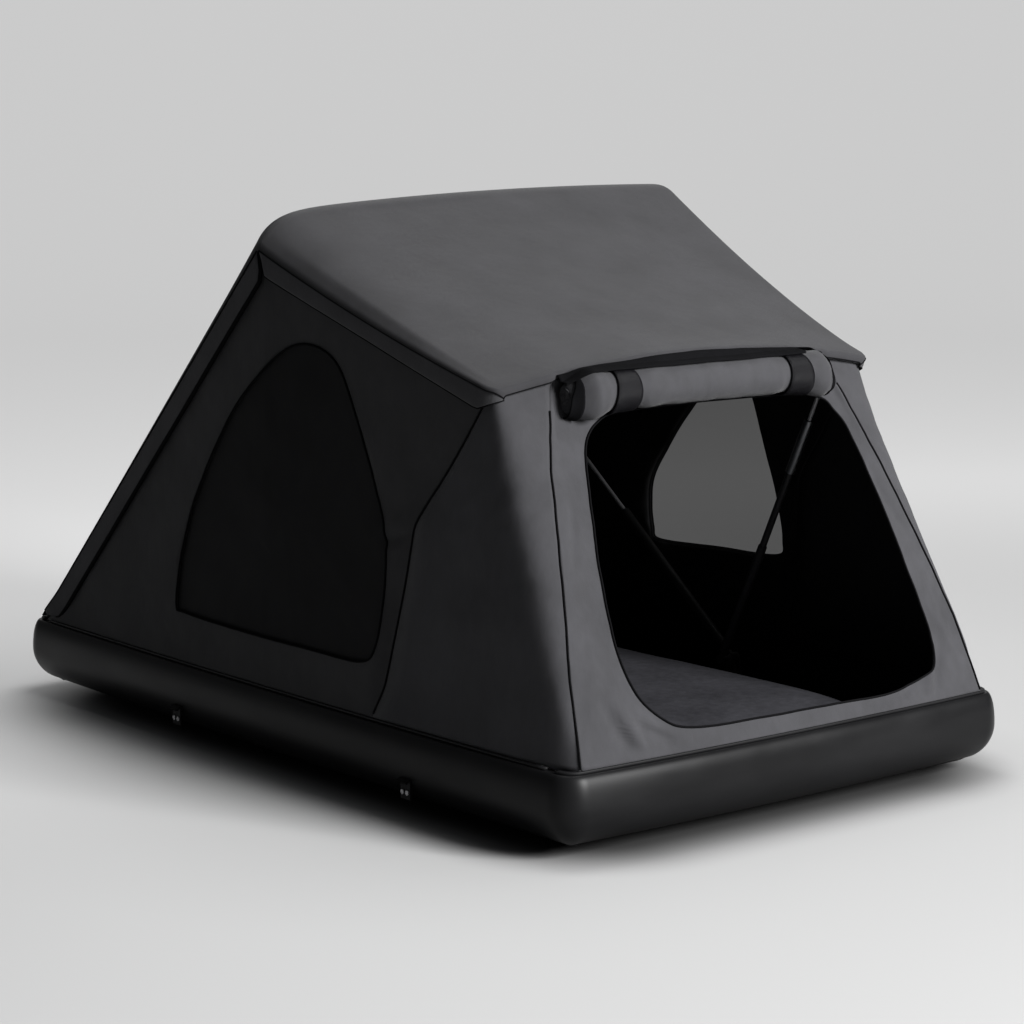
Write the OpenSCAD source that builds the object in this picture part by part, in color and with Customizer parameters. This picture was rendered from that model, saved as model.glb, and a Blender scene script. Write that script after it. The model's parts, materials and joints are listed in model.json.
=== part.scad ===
// Roof top tent: a moulded tray, a folding frame of two hinged panels on gas struts,
// and fabric covers, walls and a rolled-up door. Lengths are in millimetres.
// Origin at the bottom centre, -Y the door end, +Y the hinge end, +Z up.

/* [Tray] */
// Half width of the tray at the seam, at its corners
seam_half_w = 625; // [580:5:680]
// Half length of the tray at the seam, at its corners
seam_half_l = 1062; // [1000:5:1130]
// Outward bow of the long sides
side_bow = 28; // [10:1:40]
// Outward bow of the short ends
end_bow = 30; // [10:1:40]
// Corner radius of the seam
corner_r = 70; // [60:2:90]
// How far the hull swells beyond the seam
hull_bulge = 20; // [10:1:28]
// Height of the widest line of the hull
bulge_z = 112; // [95:1:130]
// Width of the rounded tuck under the hull
tuck_w = 90; // [70:2:110]
// Height of the rim
rim_z = 185; // [170:1:200]
// Width of the rim's flat top
rim_w = 26; // [22:1:32]
// Thickness of the tray's floor
tray_floor_t = 8; // [5:0.5:12]

/* [Mounting rails] */
// Height of a mounting rail
rail_h = 25; // [20:1:32]
// Width of a rail's web
rail_w = 60; // [50:1:70]
// Width of each of a rail's flanges
rail_flange = 18; // [15:1:24]
// Wall of a rail
rail_t = 3; // [2:0.5:4]
// Length of a rail
rail_len = 1500; // [1300:10:1700]
// Distance between the two rails
rail_pitch = 800; // [700:10:850]
// Diameter of the mounting holes
mount_hole_d = 9; // [7:0.5:11]
// Distance between the mounting holes of a rail
mount_pitch = 1100; // [900:10:1200]

/* [Floor and mattress] */
// Thickness of the floor panel
floor_t = 30; // [20:1:36]
// Gap between the floor panel and the tray's wall
floor_gap = 12; // [8:1:20]
// Distance of the mattress's sides from the seam's corner
mattress_gap = 143; // [142:1:180]
// Half length of the mattress
mattress_half_l = 985; // [900:5:1010]
// Thickness of the mattress at its edge seam
mattress_t = 92; // [70:1:100]
// Crown of the mattress
mattress_crown = 12; // [4:1:16]
// How far the mattress's sides draw in between its corners
mattress_draw = 12; // [4:1:20]

/* [Frame] */
// Distance of the rear hinge from the seam's corner
hinge_inset = 40; // [36:1:46]
// Height of the rear hinge above the rim
hinge_rise = 22; // [20:1:28]
// Length of the rear frame, hinge to hinge
rear_len = 1387; // [1340:1:1420]
// Slope of the raised rear frame, degrees
rear_angle = 44.5; // [40:0.5:48]
// Length of the roof frame
roof_len = 790; // [760:1:820]
// Slope of the raised roof frame, degrees
roof_slope = 18.75; // [14:0.25:22]
// Distance of the rear legs from the seam's corner
leg_inset = 40; // [37:1:45]
// Outside diameter of a rear leg
leg_d = 25; // [22:0.5:26]
// How far each roof rail draws in towards the door end
front_taper = 53; // [49:1:60]
// Outside diameter of a roof rail
roof_rail_d = 22; // [18:0.5:24]
// Wall of the frame's tubes
tube_t = 2; // [1.5:0.1:3]
// Diameter of the ridge bow
bow_d = 20; // [16:0.5:22]
// Diameter of the hinge pins
pin_d = 10; // [8:0.5:12]
// Radial running clearance of a pin
pin_fit = 0.05; // [0.02:0.01:0.1]

/* [Struts] */
// Place of the strut brackets along the tray
strut_y = -300; // [-330:1:-270]
// Height of the strut pins
strut_z = 150; // [140:1:158]
// Distance of a gas strut from its rear leg, sideways
strut_off = 35; // [33:0.5:37]
// Distance of a front stay from the rear leg, sideways
stay_off = 76; // [74:0.5:78]
// Where a gas strut meets its rear leg, from the hinge
strut_reach = 770; // [750:1:790]
// Where a front stay meets its roof rail, from the front line
stay_back = 46; // [36:1:56]
// Diameter of a gas strut's tube
strut_d = 22; // [18:0.5:24]
// Diameter of the strut rods
rod_d = 10; // [8:0.5:12]
// Diameter of a stay's upper tube
stay_d = 17; // [16:0.5:18]
// Length of a stay's tube from its pin
stay_tube_len = 690; // [675:1:705]
// Length of a stay's lock collar
collar_len = 145; // [120:1:160]

/* [Covers and walls] */
// How far the covers reach past the legs at the ridge
cover_over = 39; // [36:1:43]
// How far the roof cover reaches past the rails at the door end
front_over = 28; // [24:1:34]
// Crown of the covers at the ridge
crown = 100; // [80:1:105]
// Crown of the roof cover's front edge
front_crown = 54; // [44:1:60]
// Thickness of the covers
cover_t = 4; // [2:0.5:5]
// Height of the cover above the frame's centre line
cover_lift = 13; // [12.9:0.1:16]
// Depth of the hem that hangs from the covers
hem = 58; // [40:1:70]
// Thickness of the walls and hems
wall_t = 3; // [2:0.5:4]
// Distance of the walls from the legs at the ridge
wall_over = 19; // [17:1:21]
// Distance of the walls from the rails at the door end
wall_front_over = 16; // [14:1:18]
// Diameter of the piping round the windows and the door
piping_d = 7; // [5:0.5:9]

/* [Door] */
// Diameter of the rolled-up door
roll_d = 94; // [80:1:98]
// Distance of the roll's ends from the roof rails
roll_short = 142; // [136:2:148]
// How far the roll stands in front of the front rail
roll_out = 66; // [64:1:72]
// How far the roll hangs below the front rail
roll_drop = 7; // [4:1:12]
// Half distance between the roll's straps
strap_x = 255; // [240:1:262]
// Width of a strap
strap_w = 72; // [60:1:80]
// Thickness of a strap
strap_t = 3; // [2:0.5:4]

/* [Hidden] */
$fn = 48;

// Clearance between pieces that touch
gap = 0.3;
// Steps along a corner, a long side and a short end of the tray
corner_steps = 5;
side_steps = 10;
end_steps = 8;
side_run = seam_half_l - corner_r;
end_run = seam_half_w - corner_r;

// Half widths of the frame, the covers, the walls and what lies between them
leg_x = seam_half_w - leg_inset;
front_x = leg_x - front_taper;
strut_x = leg_x - strut_off;
stay_x = leg_x - stay_off;
cover_half_w = leg_x + cover_over;
front_half_w = front_x + front_over;
wall_half_w = leg_x + wall_over;
wall_front_w = front_x + wall_front_over;
mattress_half_w = seam_half_w - mattress_gap;
roll_half = front_x - roll_short;
stay_reach = roof_len - stay_back;

// Hinge line, ridge line and front line of the frame, as [y, z]
hinge_at = [seam_half_l - hinge_inset, rim_z + hinge_rise];
ridge_at = hinge_at + rear_len * [-cos(rear_angle), sin(rear_angle)];
front_at = ridge_at - roof_len * [cos(roof_slope), sin(roof_slope)];
floor_z = rail_h + tray_floor_t;
deck_z = floor_z + floor_t;

// Rim rail and the seats of the walls
rim_rail_h = 6;
rim_rail_out = 4;
rim_rail_w = 12;
wall_foot_z = rim_z + rim_rail_h + gap;
wall_inset = rim_rail_out + rim_rail_w / 2 + wall_t / 2;

// Hinge fittings
eye_r = 11;
tongue_w = 14;
ear_t = 6;
ear_side_gap = 1;
tube_start = 28;
plug_l = 8;
ridge_gap = 0.6;

// Struts, worked out at rest and folded flat
strut_at = [strut_y, strut_z];
strut_lug = hinge_at + strut_reach * [-cos(rear_angle), sin(rear_angle)];
strut_run = strut_lug - strut_at;
strut_len = norm(strut_run);
strut_rise = atan2(strut_run[1], strut_run[0]);
strut_short = norm([hinge_at[0] - strut_reach - strut_y, hinge_at[1] - strut_z]);
stay_lug = ridge_at - stay_reach * [cos(roof_slope), sin(roof_slope)];
stay_run = stay_lug - strut_at;
stay_len = norm(stay_run);
stay_rise = atan2(stay_run[1], -stay_run[0]);
strut_eye_r = 12;
strut_eye_w = 14;
strut_neck = 26;
strut_neck_d = 13;
rod_end = 36;
rod_hold = 45;
strut_tube_end = strut_short - rod_end;
strut_wall = 2;
gland_l = 14;
stud_gap = 0.4;
lug_h = 9.5;
stay_lower_len = 334;
stay_lower_d = 22;
stay_eye_r = 10;

// Mirrors a piece to the other side
module side(right) {
    if (right) children();
    else mirror([1, 0, 0]) children();
}

// Places a piece that is drawn flat, along -Y from the rear hinge
module at_rear() {
    translate([0, hinge_at[0], hinge_at[1]]) rotate([-rear_angle, 0, 0]) children();
}

// Places a piece that is drawn flat, along -Y from the ridge hinge
module at_roof() {
    translate([0, ridge_at[0], ridge_at[1]]) rotate([roof_slope, 0, 0]) children();
}

// A plate cut from a [y, z] outline, from x to x + t
module plate_x(x, t) {
    translate([x, 0, 0]) rotate([90, 0, 90]) linear_extrude(t) children();
}

// A round bar along X, from x to x + l
module bar_x(x, l, d) {
    translate([x, 0, 0]) rotate([0, 90, 0]) cylinder(d = d, h = l);
}

// A round bar along -Y, from s to s + l
module bar_s(s, l, d) {
    translate([0, -s, 0]) rotate([90, 0, 0]) cylinder(d = d, h = l);
}

// Triangles of the four-sided face a, b, c, d
function split(a, b, c, d) = [[a, b, c], [a, c, d]];

// The middle of a ring of points
function middle(ring) = [for (k = [0 : 2]) [for (p = ring) p[k]] * [for (p = ring) 1 / len(ring)]];

// A closed tube through rings of points; a loop joins the last ring to the first
module tube(rings, loop = false) {
    n = len(rings[0]);
    m = len(rings);
    o = (m - 1) * n;
    ends = loop ? [] : [middle(rings[0]), middle(rings[m - 1])];
    points = concat([for (r = rings) for (p = r) p], ends);
    skin = [for (j = [0 : m - (loop ? 1 : 2)]) for (i = [0 : n - 1])
        let (k = (i + 1) % n, j2 = (j + 1) % m)
        each split(j * n + i, j2 * n + i, j2 * n + k, j * n + k)];
    caps = loop ? [] : [for (i = [0 : n - 1]) let (k = (i + 1) % n)
        each [[m * n, i, k], [m * n + 1, o + k, o + i]]];
    polyhedron(points, concat(skin, caps), convexity = 6);
}

// A sheet between two grids of points; a ring joins the last column to the first
module sheet(front, back, ring = false) {
    m = len(front);
    n = len(front[0]);
    cols = ring ? n : n - 1;
    off = m * n;
    points = concat([for (r = front) for (p = r) p], [for (r = back) for (p = r) p]);
    faces = [for (j = [0 : m - 2]) for (i = [0 : cols - 1])
        let (k = (i + 1) % n, a = j * n + i, b = (j + 1) * n + i, c = (j + 1) * n + k, d = j * n + k)
        each concat(split(a, b, c, d), split(off + a, off + d, off + c, off + b))];
    low = [for (i = [0 : cols - 1]) let (k = (i + 1) % n) each split(i, k, off + k, off + i)];
    top = [for (i = [0 : cols - 1]) let (o = (m - 1) * n, k = (i + 1) % n)
        each split(o + k, o + i, off + o + i, off + o + k)];
    ends = ring ? [] : [for (j = [0 : m - 2]) let (a = j * n, b = (j + 1) * n, c = a + n - 1, d = b + n - 1)
        each concat(split(b, a, off + a, off + b), split(c, d, off + d, off + c))];
    polyhedron(points, concat(faces, low, top, ends), convexity = 6);
}

// Half width of the tray at y, and half length at x, set off from the seam
function side_x(y, off) = abs(y) < side_run
    ? seam_half_w + off + side_bow * (1 - pow(y / side_run, 2))
    : end_run + sqrt(max(0, pow(corner_r + off, 2) - pow(abs(y) - side_run, 2)));
function end_y(x, off) = abs(x) < end_run
    ? seam_half_l + off + end_bow * (1 - pow(x / end_run, 2))
    : side_run + sqrt(max(0, pow(corner_r + off, 2) - pow(abs(x) - end_run, 2)));

// A quarter of the tray's corner, turned by a
function corner(sx, sy, a, off) = [for (i = [0 : corner_steps])
    let (t = a + 90 * i / corner_steps)
    [sx * end_run + (corner_r + off) * cos(t), sy * side_run + (corner_r + off) * sin(t)]];

// The tray's outline, set off from the seam, turning left from the right-hand side
function outline(off) = concat(
    [for (i = [1 : side_steps - 1]) let (y = side_run * (2 * i / side_steps - 1)) [side_x(y, off), y]],
    corner(1, 1, 0, off),
    [for (i = [1 : end_steps - 1]) let (x = end_run * (1 - 2 * i / end_steps)) [x, end_y(x, off)]],
    corner(-1, 1, 90, off),
    [for (i = [1 : side_steps - 1]) let (y = side_run * (1 - 2 * i / side_steps)) [-side_x(y, off), y]],
    corner(-1, -1, 180, off),
    [for (i = [1 : end_steps - 1]) let (x = end_run * (2 * i / end_steps - 1)) [x, -end_y(x, off)]],
    corner(1, -1, 270, off));

// The hull's section as [offset from the seam, z]: tuck, shoulder, rim, inner wall and floor
hull_steps = 6;
inner_fillet = 24;
hull_section = concat(
    [for (i = [0 : hull_steps]) let (a = 90 * i / hull_steps)
        [hull_bulge - tuck_w * (1 - sin(a)), rail_h + (bulge_z - rail_h) * (1 - cos(a))]],
    [for (i = [1 : hull_steps]) let (a = 90 * i / hull_steps)
        [hull_bulge * cos(a), bulge_z + (rim_z - bulge_z) * sin(a)]],
    [[-rim_w, rim_z], [-rim_w, floor_z + inner_fillet],
        [-rim_w - inner_fillet / 3, floor_z + inner_fillet / 3], [-rim_w - inner_fillet, floor_z]]);

module hull_tray() {
    color("#1b1b1c") tube([for (p = hull_section) [for (q = outline(p[0])) [q[0], q[1], p[1]]]]);
}

// Half sizes of the floor panel
floor_half_w = seam_half_w - rim_w - inner_fillet - floor_gap;
floor_half_l = seam_half_l - rim_w - inner_fillet - floor_gap;
floor_corner = 40;

module floor_panel() {
    color("#3a3a3c") translate([0, 0, floor_z]) linear_extrude(floor_t) union() {
        square([2 * (floor_half_w - floor_corner), 2 * floor_half_l], center = true);
        square([2 * floor_half_w, 2 * (floor_half_l - floor_corner)], center = true);
        for (sx = [-1, 1], sy = [-1, 1])
            translate([sx * (floor_half_w - floor_corner), sy * (floor_half_l - floor_corner)])
                circle(r = floor_corner);
    }
}

// The mattress: a crowned top, sides drawn in between the corners, a flat underside
mattress_cols = 12;
mattress_rows = 18;
mattress_edge = 0.45;
function mattress_xy(u, v) = [
    u * (mattress_half_w - mattress_draw * (1 - v * v)),
    v * (mattress_half_l - mattress_draw * (1 - u * u))];
function mattress_top(u, v) = mattress_t * (mattress_edge + (1 - mattress_edge)
    * pow((1 - pow(abs(u), 10)) * (1 - pow(abs(v), 14)), 0.5)) + mattress_crown * (1 - u * u) * (1 - v * v);
function mattress_grid(top) = [for (j = [0 : mattress_rows]) let (v = sin(90 * (2 * j / mattress_rows - 1)))
    [for (i = [0 : mattress_cols]) let (u = sin(90 * (2 * i / mattress_cols - 1)), q = mattress_xy(u, v))
        [q[0], q[1], deck_z + gap + (top ? mattress_top(u, v) : 0)]]];

module mattress() {
    color("#2c2d30") sheet(mattress_grid(true), mattress_grid(false));
}

// Mounting rails: a hat section under the tray with round holes for the roof bar bolts
bolt_pitch = 420;
bolt_d = 8;
bolt_head_d = 15;
bolt_head_h = 5;
module mounting_rail(x) {
    color("#9a9b9d") translate([x, rail_len / 2, 0]) rotate([90, 0, 0]) linear_extrude(rail_len) union() {
        translate([-rail_w / 2, 0]) square([rail_w, rail_t]);
        for (s = [-1, 1]) {
            translate([s * (rail_w - rail_t) / 2 - rail_t / 2, 0]) square([rail_t, rail_h]);
            translate([s * (rail_w + rail_flange) / 2 - (rail_flange + rail_t) / 2, rail_h - rail_t])
                square([rail_flange + rail_t, rail_t]);
        }
    }
}

module drilled_rail(x) {
    difference() {
        mounting_rail(x);
        for (s = [-1, 1])
            translate([x, s * mount_pitch / 2, -1]) cylinder(d = mount_hole_d, h = rail_t + 2);
        for (p = rail_bolt_places(x))
            translate([p[0], p[1], rail_h - rail_t - 1]) cylinder(d = bolt_d + 2 * gap, h = rail_t + 2);
    }
}

function rail_bolt_places(x) = [for (s = [-1, 1], j = [-1 : 1])
    [x + s * (rail_w + rail_flange) / 2, j * bolt_pitch]];

module left_mounting_rail() { drilled_rail(-rail_pitch / 2); }
module right_mounting_rail() { drilled_rail(rail_pitch / 2); }

// Bolts that hold the rails to the tray, heads below the flanges
module rail_bolts() {
    color("#6f7073") for (x = [-rail_pitch / 2, rail_pitch / 2], p = rail_bolt_places(x))
        translate([p[0], p[1], rail_h - rail_t - bolt_head_h]) {
            cylinder(d = bolt_head_d, h = bolt_head_h);
            cylinder(d = bolt_d, h = bolt_head_h + rail_t);
        }
}

// Rim rails: the channel that grips the foot of the walls, in four lengths
function rim_section(p, d) = [for (c = [[-rim_rail_out - rim_rail_w, 0], [-rim_rail_out, 0],
    [-rim_rail_out, rim_rail_h], [-rim_rail_out - rim_rail_w, rim_rail_h]])
    [p[0] + d[0] * c[0], p[1] + d[1] * c[0], rim_z + c[1]]];
rim_side = [for (i = [0 : side_steps]) let (y = (side_run - gap) * (2 * i / side_steps - 1))
    rim_section([side_x(y, 0), y], [1, 0])];
rim_end = concat(
    [for (i = [0 : corner_steps]) let (t = 90 * i / corner_steps, d = [cos(t), sin(t)])
        rim_section([end_run, side_run] + corner_r * d, d)],
    [for (i = [1 : end_steps - 1]) let (x = end_run * (1 - 2 * i / end_steps))
        rim_section([x, end_y(x, 0)], [0, 1])],
    [for (i = [0 : corner_steps]) let (t = 90 + 90 * i / corner_steps, d = [cos(t), sin(t)])
        rim_section([-end_run, side_run] + corner_r * d, d)]);

module rim_rail(rings) { color("#141414") tube([for (r = rings) [for (i = [3 : -1 : 0]) r[i]]]); }
module left_rim_rail() { side(false) rim_rail(rim_side); }
module right_rim_rail() { rim_rail(rim_side); }
module rear_rim_rail() { rim_rail(rim_end); }
module front_rim_rail() { mirror([0, 1, 0]) rim_rail(rim_end); }

// Strap hooks on the tray's long sides
hook_places = [340, -566];
hook_w = 34;
hook_h = 46;
hook_t = 5;
hook_reach = 14;
hook_z = 42;
hook_screw_d = 6;
function hull_off(z) = z > bulge_z
    ? hull_bulge * sqrt(1 - pow((z - bulge_z) / (rim_z - bulge_z), 2))
    : hull_bulge - tuck_w * (1 - sqrt(max(0, 1 - pow((bulge_z - z) / (bulge_z - rail_h), 2))));
hook_top_z = hook_z + hook_h;
function hook_face(y) = side_x(y, hull_off(hook_top_z)) + gap;

module strap_hook(y) {
    x = hook_face(y);
    difference() {
        translate([0, y + hook_w / 2, 0]) rotate([90, 0, 0]) linear_extrude(hook_w) polygon([
            [x, hook_top_z], [x, hook_z], [x + hook_t, hook_z], [x + hook_t, hook_top_z - hook_t],
            [x + hook_reach, hook_top_z - 2 * hook_t], [x + hook_reach + hook_t, hook_top_z - hook_t],
            [x + hook_t, hook_top_z]]);
        for (s = [-1, 1]) translate([x - 1, y + s * hook_w / 4, hook_z + hook_h / 3]) rotate([0, 90, 0])
            cylinder(d = hook_screw_d + 2 * gap, h = hook_t + 2);
    }
}

module hook_screw(y, s) {
    translate([hook_face(y), y + s * hook_w / 4, hook_z + hook_h / 3]) rotate([0, 90, 0]) {
        cylinder(d = hook_screw_d, h = hook_t);
        translate([0, 0, hook_t]) cylinder(d = hook_screw_d * 1.8, h = 2.5);
    }
}

module strap_hooks() {
    color("#101010") for (r = [true, false], y = hook_places) side(r) strap_hook(y);
}

module hook_screws() {
    color("#77787a") for (r = [true, false], y = hook_places, s = [-1, 1]) side(r) hook_screw(y, s);
}

// Rear hinge brackets: two ears on a foot that is screwed to the rim
foot_t = 4;
foot_y = end_y(leg_x, 0) - rim_w / 2;
foot_w = 16;
hinge_screw_d = 6;
ear_in = tongue_w / 2 + ear_side_gap;
module hinge_ear() {
    translate(hinge_at) circle(r = eye_r);
    polygon([hinge_at + eye_r * [-0.5, -0.86], [foot_y - foot_w / 2, wall_foot_z],
        [foot_y + foot_w / 2, wall_foot_z], [foot_y + foot_w / 2, wall_foot_z + foot_t],
        hinge_at + eye_r * [0.86, 0.5]]);
}

module hinge_bracket() {
    color("#2a2a2c") difference() {
        union() {
            for (s = [-1, 1])
                plate_x(leg_x + s * (ear_in + ear_t / 2) - ear_t / 2, ear_t) hinge_ear();
            translate([leg_x - ear_in - ear_t, foot_y - foot_w / 2, wall_foot_z])
                cube([2 * (ear_in + ear_t), foot_w, foot_t]);
        }
        translate([0, hinge_at[0], hinge_at[1]])
            bar_x(leg_x - ear_in - ear_t - 1, 2 * (ear_in + ear_t + 1), pin_d + 2 * pin_fit);
        for (s = [-1, 1]) translate([leg_x + s * tongue_w / 4, foot_y, rim_z])
            cylinder(d = hinge_screw_d / 2 + 2 * gap, h = 20);
    }
}

module left_hinge_bracket() { side(false) hinge_bracket(); }
module right_hinge_bracket() { hinge_bracket(); }

module hinge_screws() {
    color("#77787a") for (r = [true, false], s = [-1, 1]) side(r)
        translate([leg_x + s * tongue_w / 4, foot_y, wall_foot_z]) {
            cylinder(d = hinge_screw_d / 2, h = foot_t);
            translate([0, 0, foot_t]) cylinder(d = hinge_screw_d, h = 2);
        }
}

// A hinge pin with a head at each end, through the ears at leg_x
pin_head_d = 15;
pin_head_h = 2.5;
module hinge_pin() {
    l = 2 * (ear_in + ear_t + gap);
    bar_x(leg_x - l / 2, l, pin_d);
    for (s = [-1, 1]) bar_x(leg_x + s * (l / 2 + pin_head_h / 2) - pin_head_h / 2, pin_head_h, pin_head_d);
}

module hinge_pins() {
    color("#8a8b8d") for (r = [true, false]) side(r) translate([0, hinge_at[0], hinge_at[1]]) hinge_pin();
}

// Strut brackets: a clevis on the floor panel for the gas strut of a side
bracket_t = 4;
bracket_in = strut_x - strut_eye_w / 2 - gap - bracket_t;
bracket_out = strut_x + strut_eye_w / 2 + gap;
bracket_len = 70;
module strut_bracket() {
    color("#2a2a2c") difference() {
        union() {
            for (x = [bracket_in, bracket_out]) plate_x(x, bracket_t) difference() {
                union() {
                    translate(strut_at) circle(r = strut_eye_r);
                    polygon([[strut_y - bracket_len / 2, deck_z + gap],
                        [strut_y + bracket_len / 2, deck_z + gap],
                        strut_at + strut_eye_r * [0.97, 0.24], strut_at + strut_eye_r * [-0.97, 0.24]]);
                }
            }
            translate([bracket_in, strut_y - bracket_len / 2, deck_z + gap])
                cube([bracket_out + bracket_t - bracket_in, bracket_len, bracket_t]);
        }
        translate([0, strut_y, strut_z])
            bar_x(bracket_in - 1, bracket_out + bracket_t - bracket_in + 2, pin_d + 2 * pin_fit);
    }
}

module left_strut_bracket() { side(false) strut_bracket(); }
module right_strut_bracket() { strut_bracket(); }

module strut_pins() {
    color("#8a8b8d") for (r = [true, false]) side(r) translate([0, strut_y, strut_z]) {
        bar_x(bracket_in - gap, bracket_out + bracket_t - bracket_in + 2 * gap, pin_d);
        for (x = [bracket_in - gap - pin_head_h, bracket_out + bracket_t + gap])
            bar_x(x, pin_head_h, pin_head_d);
    }
}

// Sides of the tent: the walls' half width where they reach the frame
function top_x(y) = y > ridge_at[0] ? wall_half_w
    : wall_half_w - (wall_half_w - wall_front_w) * (ridge_at[0] - y) / (ridge_at[0] - front_at[0]);
function frame_z(y) = y > ridge_at[0]
    ? hinge_at[1] + (hinge_at[0] - y) * tan(rear_angle)
    : ridge_at[1] - (ridge_at[0] - y) * tan(roof_slope);
function rise(y, z) = min(1, max(0, (z - wall_foot_z) / max(60, frame_z(y) - wall_foot_z)));
function wall_x(y, z) = side_x(y, -wall_inset) + (top_x(y) - side_x(y, -wall_inset)) * pow(rise(y, z), 0.7);

// Front of the tent: how far forward the front wall lies
front_bulge = 18;
front_wall_top = 50;
front_top_y = -front_at[0] + 8;
function front_y(x, z) = let (h = (z - wall_foot_z) / (front_at[1] - wall_foot_z))
    -(end_y(x, -wall_inset) * (1 - h) + front_top_y * h + front_bulge * sin(180 * h));

// Distance from c along d to the outline, and the same for a list of directions
function cross2(a, b) = a[0] * b[1] - a[1] * b[0];
function reach(c, d, pts) = min([for (i = [0 : len(pts) - 1])
    let (a = pts[i] - c, e = pts[(i + 1) % len(pts)] - pts[i], k = cross2(d, e))
    let (t = abs(k) < 0.000001 ? -1 : cross2(a, e) / k, w = abs(k) < 0.000001 ? -1 : cross2(a, d) / k)
    if (t > 0 && w > -0.000001 && w < 1.000001) t]);

// An outline with its corners rounded to the radius given as the third value of each point
round_steps = 5;
function unit(v) = v / norm(v);
function xy(p) = [p[0], p[1]];
function rounded(pts) = [for (i = [0 : len(pts) - 1])
    let (n = len(pts), p = xy(pts[i]), r = pts[i][2])
    let (a = unit(xy(pts[(i + n - 1) % n]) - p), b = unit(xy(pts[(i + 1) % n]) - p))
    let (half = acos(max(-1, min(1, a * b))) / 2, cut = r / tan(half), c = p + unit(a + b) * r / sin(half))
    let (q = p + a * cut - c, turn = (180 - 2 * half) * sign(cross2(-a, b)))
    for (k = [0 : round_steps]) let (t = turn * k / round_steps)
        c + [q[0] * cos(t) - q[1] * sin(t), q[0] * sin(t) + q[1] * cos(t)]];

// Points along a closed outline, no further apart than step
function along(pts, step) = [for (i = [0 : len(pts) - 1])
    let (a = pts[i], b = pts[(i + 1) % len(pts)], n = max(1, ceil(norm(b - a) / step)))
    for (k = [0 : n - 1]) a + (b - a) * k / n];

// A wall's grid of [a, b] points, from its opening out to its edge
wall_rings = 3;
function ring_grid(c, hole, edge) = [for (j = [0 : wall_rings])
    [for (p = edge) let (d = p - c, q = c + d * reach(c, d, hole)) q + (p - q) * j / wall_rings]];

// A point of a side wall's outline: so far above the wall's foot, or so far below the frame
function above(y, up, r) = [y, wall_foot_z + up, r];
function below(y, down, r) = [y, frame_z(y) - down, r];

// Outlines in the side wall as [y, z, corner radius]: windows, crease and wall edge
left_window = [above(-412, 102, 70), above(430, 109, 40), below(392, 346, 300), below(255, 246, 400),
    below(70, 207, 200), below(-110, 140, 60), below(-190, 153, 50), below(-405, 425, 160)];
right_window = [above(-414, 219, 8), above(75, 201, 12), above(68, 354, 60), below(-10, 525, 120),
    below(-150, 312, 200), below(-225, 206, 30), below(-285, 206, 30), above(-405, 279, 200)];
crease_foot = [-414, wall_foot_z];
crease_top_y = front_at[0] + 15;
crease_top = [crease_top_y, frame_z(crease_top_y) - 30];
crease_bends = [[0, 0], [0.11, 0.237], [0.343, 0.576], [1, 1]];
crease = [for (k = crease_bends) [for (i = [0, 1]) crease_foot[i] + (crease_top[i] - crease_foot[i]) * k[i]]];
wall_tuck = 12;
function tuck_line(y) = frame_z(y) - wall_tuck / cos(y > ridge_at[0] ? rear_angle : roof_slope);
wall_tail = hinge_at[0] - (wall_foot_z + wall_tuck / cos(rear_angle) - hinge_at[1]) / tan(rear_angle);
side_edge = along(concat(crease, [[ridge_at[0], tuck_line(ridge_at[0])], [wall_tail, wall_foot_z]]), 130);
window_centre = [-30, 600];
right_centre = [-200, 580];
wall_edge = [for (i = [len(side_edge) - 1 : -1 : 0]) side_edge[i]];

module side_wall(hole, c) {
    grid = ring_grid(c, along(rounded(hole), 60), wall_edge);
    sheet([for (r = grid) [for (p = r) [wall_x(p[0], p[1]) + wall_t, p[0], p[1]]]],
        [for (r = grid) [for (p = r) [wall_x(p[0], p[1]), p[0], p[1]]]], ring = true);
}

module left_wall() { color("#252527") side(false) side_wall(left_window, window_centre); }
module right_wall() { color("#252527") side_wall(right_window, right_centre); }

// Window mesh, sewn behind its opening
mesh_t = 1.5;
mesh_lap = 1.03;
mesh_back = 1.1;
mesh_rings = [0.05, 0.4, 0.75, 1];
module window_mesh(hole, c) {
    rim = [for (p = along(rounded(hole), 60)) c + (p - c) * mesh_lap];
    grid = [for (k = mesh_rings) [for (p = rim) c + (p - c) * k]];
    front = [for (r = grid) [for (p = r) [wall_x(p[0], p[1]) - mesh_back, p[0], p[1]]]];
    back = [for (r = grid) [for (p = r) [wall_x(p[0], p[1]) - mesh_back - mesh_t, p[0], p[1]]]];
    tube(concat(back, [for (j = [len(front) - 1 : -1 : 0]) front[j]]));
}

module left_window_mesh() { color("#0c0c0d") side(false) window_mesh(left_window, window_centre); }
module right_window_mesh() { color("#0c0c0d") window_mesh(right_window, right_centre); }

// Piping: a cord sewn along an opening, six-sided, on points that carry their outward direction
function hexagon(p, out, side, r) = [for (i = [0 : 5]) p + r * (cos(60 * i) * out + sin(60 * i) * side)];
module piping_loop(pts, outs) {
    n = len(pts);
    tube([for (i = [0 : n - 1]) let (t = unit(pts[(i + 1) % n] - pts[(i + n - 1) % n]))
        hexagon(pts[i], outs[i], cross(t, outs[i]), piping_d / 2)], loop = true);
}

module window_piping(hole, c) {
    flat = along(rounded(hole), 90);
    pts = [for (i = [len(flat) - 1 : -1 : 0]) flat[i]];
    seat = wall_t + piping_d / 2 + 2 * gap;
    piping_loop([for (p = pts) [wall_x(p[0], p[1]) + seat, p[0], p[1]]], [for (p = pts) [1, 0, 0]]);
}

module left_window_piping() { color("#101011") side(false) window_piping(left_window, window_centre); }
module right_window_piping() { color("#101011") window_piping(right_window, right_centre); }

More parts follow.
